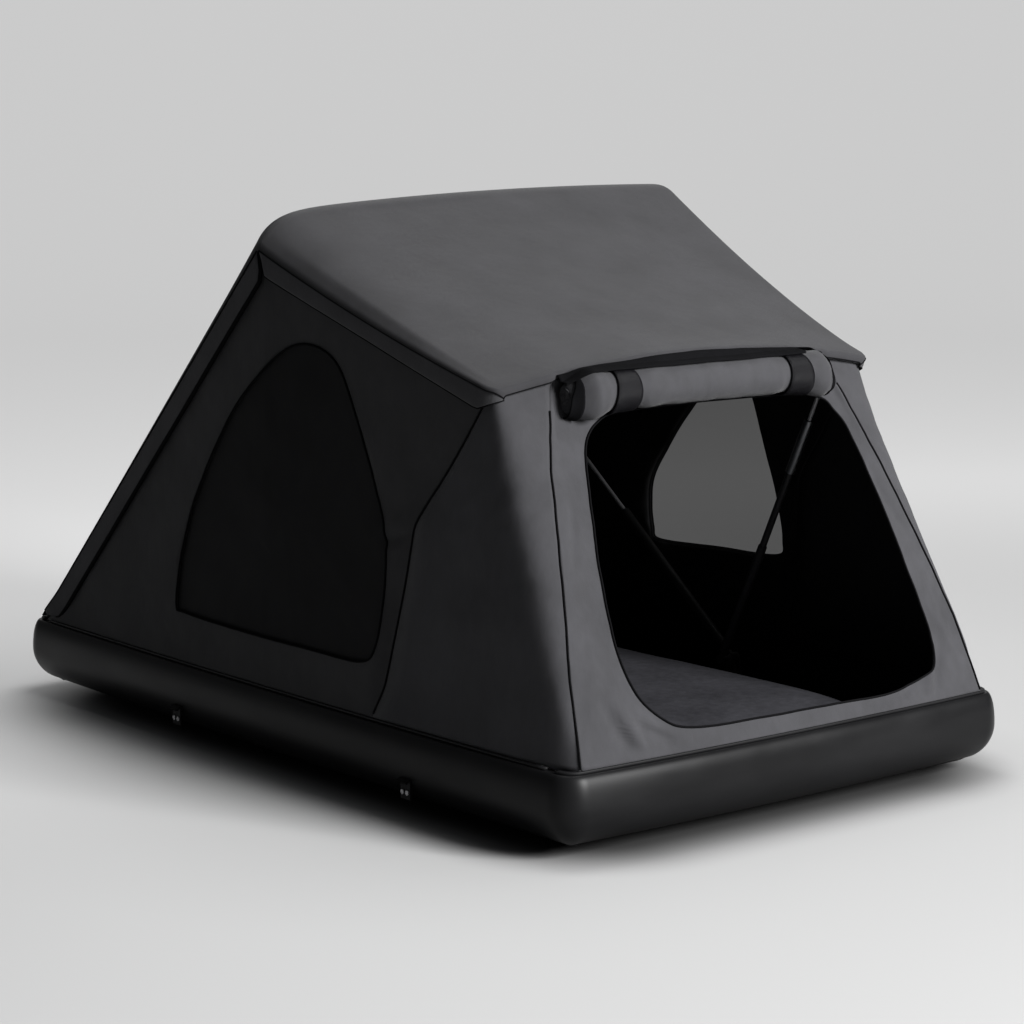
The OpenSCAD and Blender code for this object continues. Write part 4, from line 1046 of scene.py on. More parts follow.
    def top(self, u: Array, v: Array, skin: float) -> Array:
        """The rounded ridge: v turns from the rear slope to the roof about the ridge line."""
        w = SHAPE.rear_angle - (SHAPE.rear_angle + SHAPE.roof_slope) * v
        x, turned = self.soft_edge(u, SHAPE.cover_half_w)
        crest = SHAPE.crown + self.crest * np.sin(np.pi * v)
        r = SHAPE.lift + skin - turned + crest * self.arch(u)
        y, z = SHAPE.ridge
        return stack(x + 0 * w, y + r * np.sin(w), z + r * np.cos(w))

    def surface(self, skin: float) -> Array:
        """The whole cloth as a grid, with rows from the hinge end over the ridge and down the front edge."""
        u = self.across()[None, :]
        back = self.back(u, np.linspace(0, 1, 56)[:-1, None], skin)
        top = self.top(u, np.linspace(0, 1, 17)[:-1, None], skin)
        roof = self.roof(u, np.linspace(0, 1, 48)[:, None], skin)
        turned = self.roof(u, np.ones((10, 1)), skin, np.linspace(0, np.pi / 2, 11)[1:, None])
        hung = self.roof(u, np.ones((4, 1)), skin, np.full((4, 1), np.pi / 2),
                         self.front_hang * np.linspace(0, 1, 5)[1:, None])
        return np.concatenate([back, top, roof, turned, hung], axis=0)

    def build(self) -> None:
        """Makes the cloth and its four hems."""
        points = self.surface(SHAPE.cover_t)
        uv = stack(points[..., 0], run_of(points[:, self.cols // 2])[:, None])
        cloth = make_piece("canopy_cloth", points, uv=uv)
        dress(cloth, self.finishes.cover)
        thicken(cloth, self.cloth_t, self.finishes.lining)
        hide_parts("back_cover", "ridge_strip", "roof_cover")
        start, end = ((0, *(np.array(SHAPE.ridge) + off).tolist()) for off in (self.turn_from, self.turn_to))
        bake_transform(cloth)
        lay(points)
        for side in Side:
            self.rear_hem(side)
            self.roof_hem(side)
        u = self.across()
        ones = np.ones(u.shape)
        lip = self.roof(u, ones, SHAPE.cover_t, np.full(u.shape, np.pi / 2), self.front_hang * 0.5 * ones)
        sew_cord(self.finishes.piping, "front_edge_seam", "roof_frame", lip, (0.0, -1.0, 0.0), self.seam_r)

    def hem_piece(self, node: str, body: str, top: Array, depth: Array, normal: Array,
                  binding: float) -> None:
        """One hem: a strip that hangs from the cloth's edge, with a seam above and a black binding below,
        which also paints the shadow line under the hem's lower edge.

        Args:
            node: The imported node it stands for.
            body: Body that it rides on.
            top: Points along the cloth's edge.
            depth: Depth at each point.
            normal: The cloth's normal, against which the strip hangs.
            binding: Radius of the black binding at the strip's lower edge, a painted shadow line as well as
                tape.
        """
        k = np.linspace(0, 1, 9)[None, :, None]
        out = np.sign(top[0, 0]) * np.array([1.0, 0, 0])
        uneven = slack(top[:, 1][:, None], k[..., 0], 0.35, 3.0)[..., None]
        flare = self.hem_flare * np.sin(np.pi * k) + self.hem_wave * uneven
        points = top[:, None, :] - normal * k * depth[:, None, None] + out * k * (flare - self.hem_wave)
        uv = stack(run_of(top)[:, None], k[..., 0] * depth[:, None])
        piece = make_piece(f"{node}_cloth", points, uv=uv)
        dress(piece, self.finishes.hem)
        thicken(piece, CLOTH_T, self.finishes.lining)
        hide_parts(node)
        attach(piece, body)
        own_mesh(piece)
        lay(points)
        sew_cord(self.finishes.piping, f"{node}_seam", body, top + out * 0.0008, out, self.seam_r)
        # painted shadow: the black binding along the lower edge draws the shadow line under the hem
        low = points[:, -1] - out * 0.4 * binding
        bound = sew_cord(self.finishes.piping, f"{node}_binding", body, low, out, binding)
        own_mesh(bound)

    def rear_hem(self, side: Side) -> None:
        """The hem down the rear slope, cut level above the rim at its foot."""
        v = np.linspace(0, 1, 64)
        edge = self.back(np.full(v.shape, 1.0), v, SHAPE.cover_t)
        edge[:, 0] *= side.value
        normal = np.array([0, np.sin(SHAPE.rear_angle), np.cos(SHAPE.rear_angle)])
        top = edge[edge[:, 2] > SHAPE.foot_z + self.least_hem]
        room = (top[:, 2] - SHAPE.foot_z - 0.003) / np.cos(SHAPE.rear_angle)
        mitre = np.linalg.norm(top[-1] - top, axis=1) / np.tan((SHAPE.rear_angle + SHAPE.roof_slope) / 2)
        depth = np.minimum(np.minimum(SHAPE.hem, room), np.maximum(self.least_hem, mitre))
        self.hem_piece(f"{side.word}_rear_hem", "rear_frame", top, depth, normal, self.rear_binding)

    def roof_hem(self, side: Side) -> None:
        """The hem along the roof's edge: mitred at the ridge, level, then drawn up round the front corner."""
        v = np.concatenate([np.linspace(0, 1, 56), np.ones(10)])
        turn = np.concatenate([np.zeros(56), np.linspace(0, np.pi / 2, 11)[1:]])
        edge = self.roof(np.full(v.shape, 1.0), v, SHAPE.cover_t, turn)
        edge[:, 0] *= side.value
        normal = np.array([0, -np.sin(SHAPE.roof_slope), np.cos(SHAPE.roof_slope)])
        mitre = np.linalg.norm(edge[0] - edge, axis=1) / np.tan((SHAPE.rear_angle + SHAPE.roof_slope) / 2)
        level = SHAPE.hem - self.sag(np.ones(v.shape), v)
        nose = self.front_hang + np.linalg.norm(edge[-1] - edge, axis=1) * 0.8
        depth = np.minimum(np.minimum(level, np.maximum(self.least_hem, mitre)), nose)
        self.hem_piece(f"{side.word}_roof_hem", "roof_frame", edge, depth, normal, self.seam_r)


@dataclass
class Walls:
    """The side walls with their windows, the front wall with the door opening and the corner panels."""

    finishes: Finishes
    left_window: Points = (
        (0.397, 0.322), (0.380, 0.443), (0.308, 0.608), (0.179, 0.788), (0.044, 0.911), (-0.058, 0.974),
        (-0.146, 0.985), (-0.226, 0.955), (-0.277, 0.886), (-0.337, 0.771), (-0.392, 0.655), (-0.417, 0.582),
        (-0.421, 0.450), (-0.404, 0.348), (-0.362, 0.306), (-0.199, 0.301), (0.076, 0.303), (0.350, 0.307))
    right_window: Points = (
        (0.098, 0.490), (0.076, 0.571), (-0.025, 0.698), (-0.127, 0.800), (-0.200, 0.860), (-0.262, 0.868),
        (-0.304, 0.810), (-0.356, 0.671), (-0.397, 0.526), (-0.405, 0.450), (-0.378, 0.410), (-0.171, 0.400),
        (0.060, 0.390), (0.092, 0.420))
    door: Points = (
        (0.050, 0.872), (-0.224, 0.868), (-0.305, 0.850), (-0.352, 0.812), (-0.380, 0.740), (-0.409, 0.622),
        (-0.426, 0.525), (-0.434, 0.416), (-0.415, 0.325), (-0.362, 0.264), (-0.286, 0.236), (-0.092, 0.230),
        (0.119, 0.228), (0.314, 0.227), (0.420, 0.246), (0.468, 0.284), (0.478, 0.348), (0.466, 0.459),
        (0.446, 0.602), (0.423, 0.757), (0.397, 0.821), (0.335, 0.862))
    seam_line: Points = (
        (0.598, 0.1913), (0.572, 0.363), (0.524, 0.554), (0.494, 0.670), (0.468, 0.767), (0.428, 0.881),
        (0.392, 0.948))
    crease_line: Points = (
        (-0.414, SHAPE.foot_z), (-0.428, 0.253), (-0.450, 0.366), (-0.474, 0.490), (-0.486, 0.570),
        (-0.496, 0.622), (-0.530, 0.672), (-0.576, 0.730), (-0.632, 0.810))
    crease_top: float = -0.700
    side_pulls: Sequence[Pull] = (
        (-0.010, (-0.412, 0.572), (-0.492, 0.612), 0.011), (0.006, (-0.412, 0.600), (-0.500, 0.650), 0.018),
        (0.003, (-0.470, 0.480), (-0.420, 0.230), 0.020))
    front_pulls: Sequence[Pull] = (
        (0.015, (0.440, 0.292), (0.350, 0.212), 0.016), (-0.018, (0.418, 0.262), (0.336, 0.204), 0.014),
        (0.012, (0.470, 0.300), (0.420, 0.202), 0.014), (-0.010, (0.500, 0.300), (0.455, 0.200), 0.013),
        (0.005, (0.500, 0.400), (0.560, 0.240), 0.018), (0.006, (0.396, 0.925), (0.440, 0.842), 0.009),
        (0.005, (0.420, 0.905), (0.462, 0.760), 0.010), (-0.004, (0.440, 0.700), (0.490, 0.560), 0.012))
    seam_top: Points = ((0.335, 0.930), (0.270, 0.885))
    left_middle: Span = (-0.030, 0.600)
    right_middle: Span = (-0.200, 0.580)
    door_middle: Span = (0.0, 0.540)
    outline_step: float = 0.008
    edge_step: float = 0.010
    piping_r: float = 0.0025
    seam_r: float = 0.0022
    # the black cord in the side wall's crease: the seam's piping, and also painted shade of the fold there
    crease_r: float = 0.0024
    tuck: float = 0.012
    groove: float = 0.013
    turn_weight: float = 3.2

    def crease(self) -> Array:
        """The line where a side wall meets its corner panel, as (y, z) from the foot up."""
        top = float(SHAPE.frame_z(np.array(self.crease_top))) - self.tuck
        return spline([*self.crease_line, (self.crease_top, top)], 6, closed=False)

    def depth(self, z: Array) -> Array:
        """How deep the crease is drawn in at height z: nothing at the foot."""
        return self.groove * smooth((z - SHAPE.foot_z) / 0.08)

    def side_edge(self) -> Array:
        """The side wall's outline as (y, z)."""
        ry, rz = SHAPE.ridge
        tail = SHAPE.hinge_y - 0.002
        peak = rz - self.tuck / np.cos(SHAPE.rear_angle)
        return np.vstack([self.crease(), [[ry, peak], [tail, SHAPE.foot_z]]])

    def side_skin(self, side: Side, p: Array, off: float) -> Array:
        """Points of a side wall over (y, z): its surface, with soft slack and pulls towards the corners.

        Args:
            side: Which wall.
            p: Grid of (y, z).
            off: Distance outwards from the surface.

        Returns:
            The points.
        """
        y, z = p[..., 0], p[..., 1]
        edge = resample(self.side_edge(), 0.02)
        room = np.min(np.linalg.norm(p[..., None, :] - edge, axis=-1), axis=-1)
        free = smooth(room / 0.04)
        folds = 0.0030 * slack(y, z, 0.55, 4.0 + side.value) + 0.0012 * slack(y, z, 0.15, 2.0)
        folds = folds + pulled(p, self.side_pulls)
        near = np.min(np.linalg.norm(p[..., None, :] - self.crease(), axis=-1), axis=-1)
        x = SHAPE.wall_x(y, z) + off + folds * free - self.depth(z) * hump(near, 0.026)
        return stack(side.value * x, y, z)

    def wall_cloth(self, name: str, node: str, finish: bpy.types.Material, points: Array, uv: Array,
                   ring: bool = True) -> None:
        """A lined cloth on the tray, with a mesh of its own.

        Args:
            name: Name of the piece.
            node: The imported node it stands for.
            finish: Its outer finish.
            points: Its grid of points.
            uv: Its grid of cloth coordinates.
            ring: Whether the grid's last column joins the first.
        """
        piece = make_piece(name, points, uv=uv, wrap_u=ring)
        dress(piece, finish)
        thicken(piece, CLOTH_T, self.finishes.lining)
        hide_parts(node)
        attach(piece, "tray")
        fold_flat(piece)
        lay(points, ring=ring)

    def side_wall(self, side: Side, window: Points, centre: Sequence[float]) -> None:
        """A side wall round its window, the netting behind it and the piping on its edge.

        Args:
            side: Which side.
            window: Points (y, z) that the window's edge passes through.
            centre: A point inside the window.
        """
        hole = resample(spline(window), self.outline_step)
        mid = np.array(centre)
        flat = ring_sheet(mid, hole, resample(self.side_edge(), self.edge_step), 22)
        points = self.side_skin(side, flat, SHAPE.wall_t)
        # the side wall takes the darker canvas, painted shade
        self.wall_cloth(f"{side.word}_wall_cloth", f"{side.word}_wall", self.finishes.side, points, flat)
        self.netting(side, hole, mid)
        path = self.side_skin(side, hole, SHAPE.wall_t + self.piping_r * 0.7)
        self.piping(f"{side.word}_window", path, (side.value, 0.0, 0.0))

    def netting(self, side: Side, hole: Array, mid: Array) -> None:
        """The window's mesh: rings from near its middle out past the opening, a little behind the wall."""
        k = np.concatenate([[0.02], np.linspace(0.1, 1.02, 16)])[:, None, None]
        flat = mid + (hole - mid) * k
        points = self.side_skin(side, flat, -0.0012)
        belly = 0.004 * (1 - np.linspace(0, 1, len(k)) ** 2)
        points[..., 0] -= side.value * belly[:, None]
        net = make_piece(f"{side.word}_window_netting", points, uv=flat, wrap_u=True)
        self.close_centre(net, len(hole))
        dress(net, self.finishes.netting[side])
        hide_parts(f"{side.word}_window_mesh")
        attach(net, "tray")
        fold_flat(net)
        lay(points, ring=True)

    @staticmethod
    def close_centre(piece: bpy.types.Object, count: int) -> None:
        """Closes the small hole in the middle of a ringed sheet with one face, turned as its neighbours."""
        work = bmesh.new()
        work.from_mesh(piece.data)
        work.verts.ensure_lookup_table()
        rim = [e for e in work.edges if e.is_boundary and all(v.index < count for v in e.verts)]
        bmesh.ops.holes_fill(work, edges=rim, sides=0)
        work.to_mesh(piece.data)
        work.free()
        piece.data.polygons.foreach_set("use_smooth", np.ones(len(piece.data.polygons), bool))

    def piping(self, word: str, path: Array, out: Sequence[float]) -> None:
        """A black cord sewn round an opening.

        Args:
            word: The opening's name.
            path: Closed path of the cord.
            out: Outward direction of the wall.
        """
        sewn = sew_cord(self.finishes.piping, f"{word}_cord", "tray", path, out, self.piping_r, 10, True)
        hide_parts(f"{word}_piping")
        fold_flat(sewn)

    def front_skin(self, p: Array, off: float) -> Array:
        """Points of the front wall over (x, z): its surface, with slack and pulls at the door's corners.

        Args:
            p: Grid of (x, z).
            off: Distance outwards from the surface.

        Returns:
            The points.
        """
        x, z = p[..., 0], p[..., 1]
        folds = 0.0022 * slack(x, z, 0.4, 6.0) + 0.0016 * slack(x, z, 0.14, 9.0)
        folds = folds + pulled(stack(np.abs(x), z), self.front_pulls)
        free = smooth((z - SHAPE.foot_z) / 0.03)
        return stack(x, SHAPE.front_y(x, z) - off - folds * free, z)

    def front_wall(self) -> None:
        """The front wall round the door opening, and the door's piping."""
        hole = resample(spline(self.door), self.outline_step)
        right = np.array([*self.seam_line, *self.seam_top])
        edge = np.vstack([right, right[::-1] * np.array([-1.0, 1.0])])
        flat = ring_sheet(np.array(self.door_middle), hole, resample(edge, self.edge_step), 18)
        points = self.front_skin(flat, SHAPE.wall_t)
        self.wall_cloth("front_wall_cloth", "front_wall", self.finishes.wall, points, flat)
        self.piping("door", self.front_skin(hole, SHAPE.wall_t + self.piping_r * 0.7), (0.0, -1.0, 0.0))

    def seam(self, t: Array) -> Array:
        """The seam between the front wall and a corner panel, from the foot up and in to the roof's edge."""
        line = np.array(self.seam_line)
        z = line[0, 1] + (line[-1, 1] - line[0, 1]) * t
        return self.front_skin(stack(np.interp(z, line[:, 1], line[:, 0]), z), SHAPE.wall_t)

    def corner_panel(self, side: Side) -> None:
        """A corner panel: each row a weighted quadratic from the crease round the corner to the seam."""
        t = np.linspace(0, 1, 80)
        k = np.linspace(0, 1, 60)[None, :, None]
        line = self.crease()
        z = line[0, 1] + (line[-1, 1] - line[0, 1]) * t
        y = np.interp(z, line[:, 1], line[:, 0])
        a = stack(SHAPE.wall_x(y, z) + SHAPE.wall_t - self.depth(z), y, z)
        c = self.seam(t)
        fy, fz = SHAPE.front
        foot_x = float(SHAPE.side_x(np.array(SHAPE.side_run), -SHAPE.wall_inset)) + SHAPE.wall_t
        low = SHAPE.seam_half_l - SHAPE.wall_inset + SHAPE.wall_t
        b = stack(foot_x + (SHAPE.wall_front_w - 0.002 - foot_x) * t,
                  -low * (1 - t) + (fy - 0.008) * t + 0.042 * (1 - smooth(t / 0.15)),
                  SHAPE.foot_z + (fz + 0.002 - SHAPE.foot_z) * t)
        pull = 2 * self.turn_weight * k * (1 - k)
        weight = (1 - k) ** 2 + pull + k * k
        points = (a[:, None] * (1 - k) ** 2 + b[:, None] * pull + c[:, None] * k * k) / weight
        run, rise = run_of(np.swapaxes(points, 0, 1)).T, points[..., 2]
        bend = np.clip(np.sin(np.pi * run / run[:, -1:]), 0, 1) ** 0.8
        bend = bend * np.clip(np.sin(np.pi * t), 0, 1)[:, None] ** 0.5
        folds = 0.0036 * slack(run, rise, 0.42, 8.0 + side.value) + 0.0016 * slack(run, rise, 0.13, 3.0)
        normal = unit(np.cross(np.gradient(points, axis=1), np.gradient(points, axis=0)))
        normal = normal * np.sign(np.sum(normal * np.array([1.0, -0.6, 0.0])))
        points = points + normal * (folds * bend)[..., None]
        points[..., 0] *= side.value
        self.wall_cloth(f"{side.word}_corner_cloth", f"{side.word}_corner_panel", self.finishes.wall, points,
                        stack(run, points[..., 2]), ring=False)
        self.seam_cord(side)

    def seam_cord(self, side: Side) -> None:
        """The thin piping in the seam to the front wall and the thicker one in the side wall's crease, whose
        black also paints the shade of the fold there.
        """
        front = self.seam(np.linspace(0.004, 0.915, 90))
        front[:, 1] -= 0.0012
        line = resample(self.crease(), self.outline_step, closed=False)
        y, z = line[1:-1, 0], line[1:-1, 1]
        crease = stack(SHAPE.wall_x(y, z) + SHAPE.wall_t - self.depth(z) + 0.001, y, z)
        for word, path, outward, radius in (("front_seam", front, (0.0, -1.0, 0.0), self.seam_r),
                                            ("crease", crease, (side.value, 0.0, 0.0), self.crease_r)):
            path[:, 0] *= side.value
            name = f"{side.word}_{word}_cord"
            fold_flat(sew_cord(self.finishes.piping, name, "tray", path, outward, radius))

    def build(self) -> None:
        """Makes every wall."""
        self.side_wall(Side.LEFT, self.left_window, self.left_middle)
        self.side_wall(Side.RIGHT, self.right_window, self.right_middle)
        self.front_wall()
        for side in Side:
            self.corner_panel(side)


@dataclass
class DoorRoll:
    """The rolled-up door under the roof's front edge, with its straps, end loops and the flap over it."""

    finishes: Finishes
    canopy: Canopy
    radius: float = 0.047
    half: float = 0.386
    out: float = 0.066
    drop: float = 0.007
    nip: float = 0.003
    strap_x: float = 0.255
    strap_w: float = 0.072
    loop_x: float = 0.374
    loop_w: float = 0.024
    droop: float = 0.020
    taper: float = 0.023
    flap_half: float = 0.392
    flap_turn: float = 118.0
    flap_step: float = 0.288
    flap_gap: float = 0.0046
    flap_t: float = 0.0015
    flap_split: float = 0.55
    end_x: float = 0.335
    end_run: float = 0.062
    end_back: float = 0.020
    end_down: float = 0.006
    sag_x: float = 0.25
    sag_run: float = 0.13
    sag_turn: float = np.radians(258)
    cap_len: float = 0.010
    strap_gap: float = 0.0006
    strap_t: float = 0.0026
    strap_open: float = 0.10
    rail_r: float = 0.0115

    @property
    def axis(self) -> tuple[float, float]:
        """The roll's axis as (y, z)."""
        y, z = SHAPE.front
        return y - self.out, z - self.drop

    def place(self, x: Array, r: Array, a: Array) -> Array:
        """Points at radius r and angle a round the roll's axis, 0 to the rear and turning upwards.

        Outside the straps the axis draws back to the wall and the radius falls, so that the ends tuck away.
        """
        y, z = self.axis
        end = smooth((np.abs(x) - self.end_x) / self.end_run)
        r = r - self.taper * end
        return stack(x, y + self.end_back * end + r * np.cos(a), z - self.end_down * end + r * np.sin(a))

    def sagged(self, x: Array, a: Array) -> Array:
        """How far the roll's ends hang: a squared cosine round the section, growing outside the straps."""
        end = smooth((np.abs(x) - self.sag_x) / self.sag_run)
        return self.droop * end * np.clip(np.cos(a - self.sag_turn), 0, 1) ** 2

    def roll_radius(self, x: Array, a: Array) -> Array:
        """The roll's radius: drawn in under the straps, with a lap line and folds out from the straps."""
        near = np.abs(np.abs(x) - self.strap_x)
        dip = self.nip * (1 - smooth((near - 0.5 * self.strap_w) / 0.03))
        puff = 0.002 * hump(near - 0.075, 0.03)
        turn = np.mod(a - 1.9 * np.pi, 2 * np.pi) / (2 * np.pi)
        folds = 0.0018 * slack(x, a * self.radius * 1.6, 0.16, 11.0) * smooth((near - 0.038) / 0.02)
        return self.radius - dip + puff - 0.0035 * turn + folds - 0.0015 + self.sagged(x, a)

    def build(self) -> None:
        """Makes the roll, its straps, loops and flap, all on the roof frame."""
        self.roll()
        for side in Side:
            inner = self.radius - self.nip
            self.band(f"{side.word}_roll_strap", side.value * self.strap_x, self.strap_w, 0.25, inner)
            self.band(f"{side.word}_roll_loop", side.value * self.loop_x, self.loop_w, 0.8, self.radius)
        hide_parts("roll_straps")
        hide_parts("roll_end_loops")
        self.flap()

    def roll(self) -> None:
        """The roll: rings along it, closed at each end over a rounded edge with a spiral groove."""
        a = np.linspace(0, 2 * np.pi, 72, endpoint=False)[None, :]
        flank = self.half - self.cap_len
        x = np.linspace(-flank, flank, 200)[:, None]
        body = self.place(x, self.roll_radius(x, a), a)
        k = np.linspace(1, 0, 14)[1:-1, None]

        def cap(end: int) -> Array:
            edge = self.roll_radius(np.full_like(a, end * flank), a)
            bulge = self.cap_len * np.sqrt(np.clip(1 - ((k - 0.8) / 0.2).clip(0, 1) ** 2, 0, 1))
            spiral = 0.0015 * np.sin(2 * np.pi * (k * 6.0 - a / (2 * np.pi)))
            groove = spiral * smooth((1 - k) / 0.2) * smooth(k / 0.2)
            return self.place(end * (flank + bulge + groove), edge * k, a)

        points = np.concatenate([cap(-1)[::-1], body, cap(1)], axis=0)
        uv = stack(points[..., 0], a * self.radius)
        roll = make_piece("door_roll_cloth", points, uv=uv, wrap_u=True, caps=True, inside=(0, *self.axis))
        dress(roll, self.finishes.wall)
        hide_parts("door_roll")
        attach(roll, "roof_frame")

    def band(self, name: str, x: float, width: float, leaf: float, radius: float) -> None:
        """A strap round the roll with a tail back to the front rail: a flat band carried round the section.

        Args:
            name: Name of the piece.
            x: Place of its middle.
            width: Greatest width of the band.
            leaf: How much of that width it loses at the top, from 0 to 1.
            radius: Inner radius.
        """
        lean = np.arctan2(self.drop, self.out)
        a = np.linspace(lean + self.strap_open, lean + 2 * np.pi - self.strap_open, 84)
        tail = np.linspace(1, 0, 8)[:-1]
        gap = (np.hypot(self.out, self.drop) - self.rail_r - radius) * (1.0 if leaf < 0.5 else 0.1)
        base = radius + self.strap_gap

        def outline(edge: int) -> Array:
            return stack(base + gap * tail, lean + edge * (self.strap_open * (1 - tail) + 0.02 * tail))

        path = np.concatenate([outline(1), stack(np.full(a.shape, base), a), outline(-1)[::-1]])
        r, turn = path[None, :, 0], path[None, :, 1]
        wide = width * (1 - leaf + leaf * (0.5 + 0.5 * np.cos(turn - np.radians(222))) ** 1.5)
        w = np.linspace(-0.5, 0.5, 9)[:, None]
        across = x + w * wide + 0.010 * np.sign(x) * np.sin(turn - np.radians(150)) * leaf
        r = r + self.sagged(across, turn)
        bow = 0.0008 * (1 - 4 * w * w)
        outer = self.place(across, r + self.strap_t + bow, turn)
        inner = self.place(across, r, turn)
        points = np.concatenate([outer, inner[::-1]], axis=0)
        uv = stack(run_of(outer[4])[None, :], points[..., 0])
        piece = make_piece(name, np.swapaxes(points, 0, 1), uv=np.swapaxes(uv, 0, 1), wrap_u=True, caps=True,
                           inside=(x, *self.axis))
        turn_out(piece, np.mean(outer[4], axis=0))
        dress(piece, self.finishes.webbing if leaf < 0.5 else self.finishes.flap)
        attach(piece, "roof_frame")

    def flap(self) -> None:
        """The black flap from the roof's arched edge over the top of the roll, short of its right end."""
        x = np.linspace(-self.flap_half, self.flap_half, 140)
        lean = np.radians(80.0)
        reach_to = self.radius + self.flap_gap
        start = self.canopy.lip_at(x, np.radians(60.0))[None] + np.array([0.0, -0.0015, 0.0012])
        meet = self.place(x, reach_to + 0 * x, lean + 0 * x)[None]
        extent = 1 - 0.72 * smooth((x - self.flap_step) / 0.014)
        k = np.linspace(0, 1, 40)[:, None] * extent[None, :]
        near = np.clip(k / self.flap_split, 0, 1)[..., None]
        swell = 0.004 * np.sin(np.pi * near) * np.array([0.0, 0.0, 1.0])
        past = np.clip((k - self.flap_split) / (1 - self.flap_split), 0, 1)
        over = lean + (np.radians(self.flap_turn) - lean) * past
        wrapped = self.place(x[None, :] + 0 * k, reach_to + 0 * k, over)
        points = np.where(k[..., None] < self.flap_split, start + (meet - start) * near + swell, wrapped)
        points[..., 2] += 0.0012 * slack(points[..., 0], points[..., 1], 0.3, 14.0) + 0.0012
        uv = stack(points[..., 0], run_of(points))
        flap = make_piece("front_flap_cloth", points, uv=uv, inside=(0, *self.axis))
        dress(flap, self.finishes.flap)
        thicken(flap, self.flap_t)
        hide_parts("front_flap")
        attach(flap, "roof_frame")
        lay(points)


@dataclass
class Mattress:
    """The foam mattress: a crowned pad whose sides draw in between the corners."""

    finishes: Finishes
    half_w: float = 0.482
    half_l: float = 0.985
    thick: float = 0.092
    crown: float = 0.012
    draw: float = 0.012
    deck: float = 0.0633
    edge: float = 0.45
    voxel: float = 0.024
    held_h: float = 0.012
    pressure: float = 4.0
    frames: int = 20
    most_move: float = 0.010

    def height(self, u: Array, v: Array) -> Array:
        """Height over the deck: a rounded edge from an upright seam, and a low crown."""
        shoulder = np.sqrt((1 - np.abs(u) ** 10) * (1 - np.abs(v) ** 14))
        return self.thick * (self.edge + (1 - self.edge) * shoulder) + self.crown * (1 - u * u) * (1 - v * v)

    def skin(self) -> Array:
        """The pad as rings on a square outline: over the base, up the edge and over the crowned top."""
        t = np.linspace(0, 2 * np.pi, 176, endpoint=False)
        square = np.maximum(np.abs(np.cos(t)), np.abs(np.sin(t)))
        a, b = (np.cos(t) / square)[None, :], (np.sin(t) / square)[None, :]
        inner = np.sin(np.pi / 2 * np.linspace(0.02, 1, 30))[:, None]
        up = np.linspace(0, 1, 5)[1:-1, None]
        ring = np.concatenate([inner, np.ones(up.shape), inner[::-1]])
        u, v = ring * a, ring * b
        x = u * (self.half_w - self.draw * (1 - v * v))
        y = v * (self.half_l - self.draw * (1 - u * u))
        wave = 0.0025 * slack(x, y, 0.5, 17.0) * (1 - u ** 6) * (1 - v ** 6)
        top = self.height(u, v) + wave
        share = np.concatenate([np.zeros(inner.shape), up, np.ones(inner.shape)])
        return stack(x, y, self.deck + top * share)

    def fill(self, pad: bpy.types.Object) -> None:
        """Lets a short cloth simulation fill the pad, with its base held and no point moved far."""
        remesh = pad.modifiers.new("even", "REMESH")
        remesh.mode = "VOXEL"
        remesh.voxel_size = self.voxel
        self.apply(pad)
        mesh = pad.data
        rest = np.zeros(len(mesh.vertices) * 3, np.float32)
        mesh.vertices.foreach_get("co", rest)
        rest = rest.reshape(-1, 3)
        held = np.nonzero(rest[:, 2] < self.deck + self.held_h)[0]
        group = pad.vertex_groups.new(name="held")
        group.add(held.tolist(), 1.0, "REPLACE")
        cloth = pad.modifiers.new("filling", "CLOTH")
        cloth.settings.use_pressure = True
        cloth.settings.uniform_pressure_force = self.pressure
        cloth.settings.vertex_group_mass = "held"
        cloth.settings.effector_weights.gravity = 0.0
        cloth.settings.quality = 6
        cloth.point_cache.frame_start = 1
        cloth.point_cache.frame_end = self.frames
        scene = bpy.context.scene
        for frame in range(1, self.frames + 1):
            scene.frame_set(frame)
        self.apply(pad)
        scene.frame_set(1)
        now = np.zeros(len(pad.data.vertices) * 3, np.float32)
        pad.data.vertices.foreach_get("co", now)
        move = now.reshape(-1, 3) - rest
        far = np.linalg.norm(move, axis=1, keepdims=True)
        kept = rest + move * np.minimum(1.0, self.most_move / np.maximum(far, 1e-9))
        kept[:, 2] = np.maximum(kept[:, 2], self.deck)
        pad.data.vertices.foreach_set("co", kept.astype(np.float32).ravel())
        pad.vertex_groups.clear()
        smoother = pad.modifiers.new("rounding", "SUBSURF")
        smoother.levels = 1
        smoother.render_levels = 1

    @staticmethod
    def apply(pad: bpy.types.Object) -> None:
        """Replaces the pad's mesh with the result of its modifiers and takes them off."""
        graph = bpy.context.evaluated_depsgraph_get()
        done = bpy.data.meshes.new_from_object(pad.evaluated_get(graph))
        pad.modifiers.clear()
        pad.data = done

    def build(self) -> None:
        """Makes the pad as a closed skin, fills it and dresses it."""
        points = self.skin()
        pad = make_piece("mattress_pad", points, wrap_u=True, caps=True, inside=(0, 0, self.deck + 0.04))
        self.fill(pad)
        pad.data.polygons.foreach_set("use_smooth", np.ones(len(pad.data.polygons), bool))
        dress(pad, self.finishes.mattress)
        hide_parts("mattress")
        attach(pad, "tray")


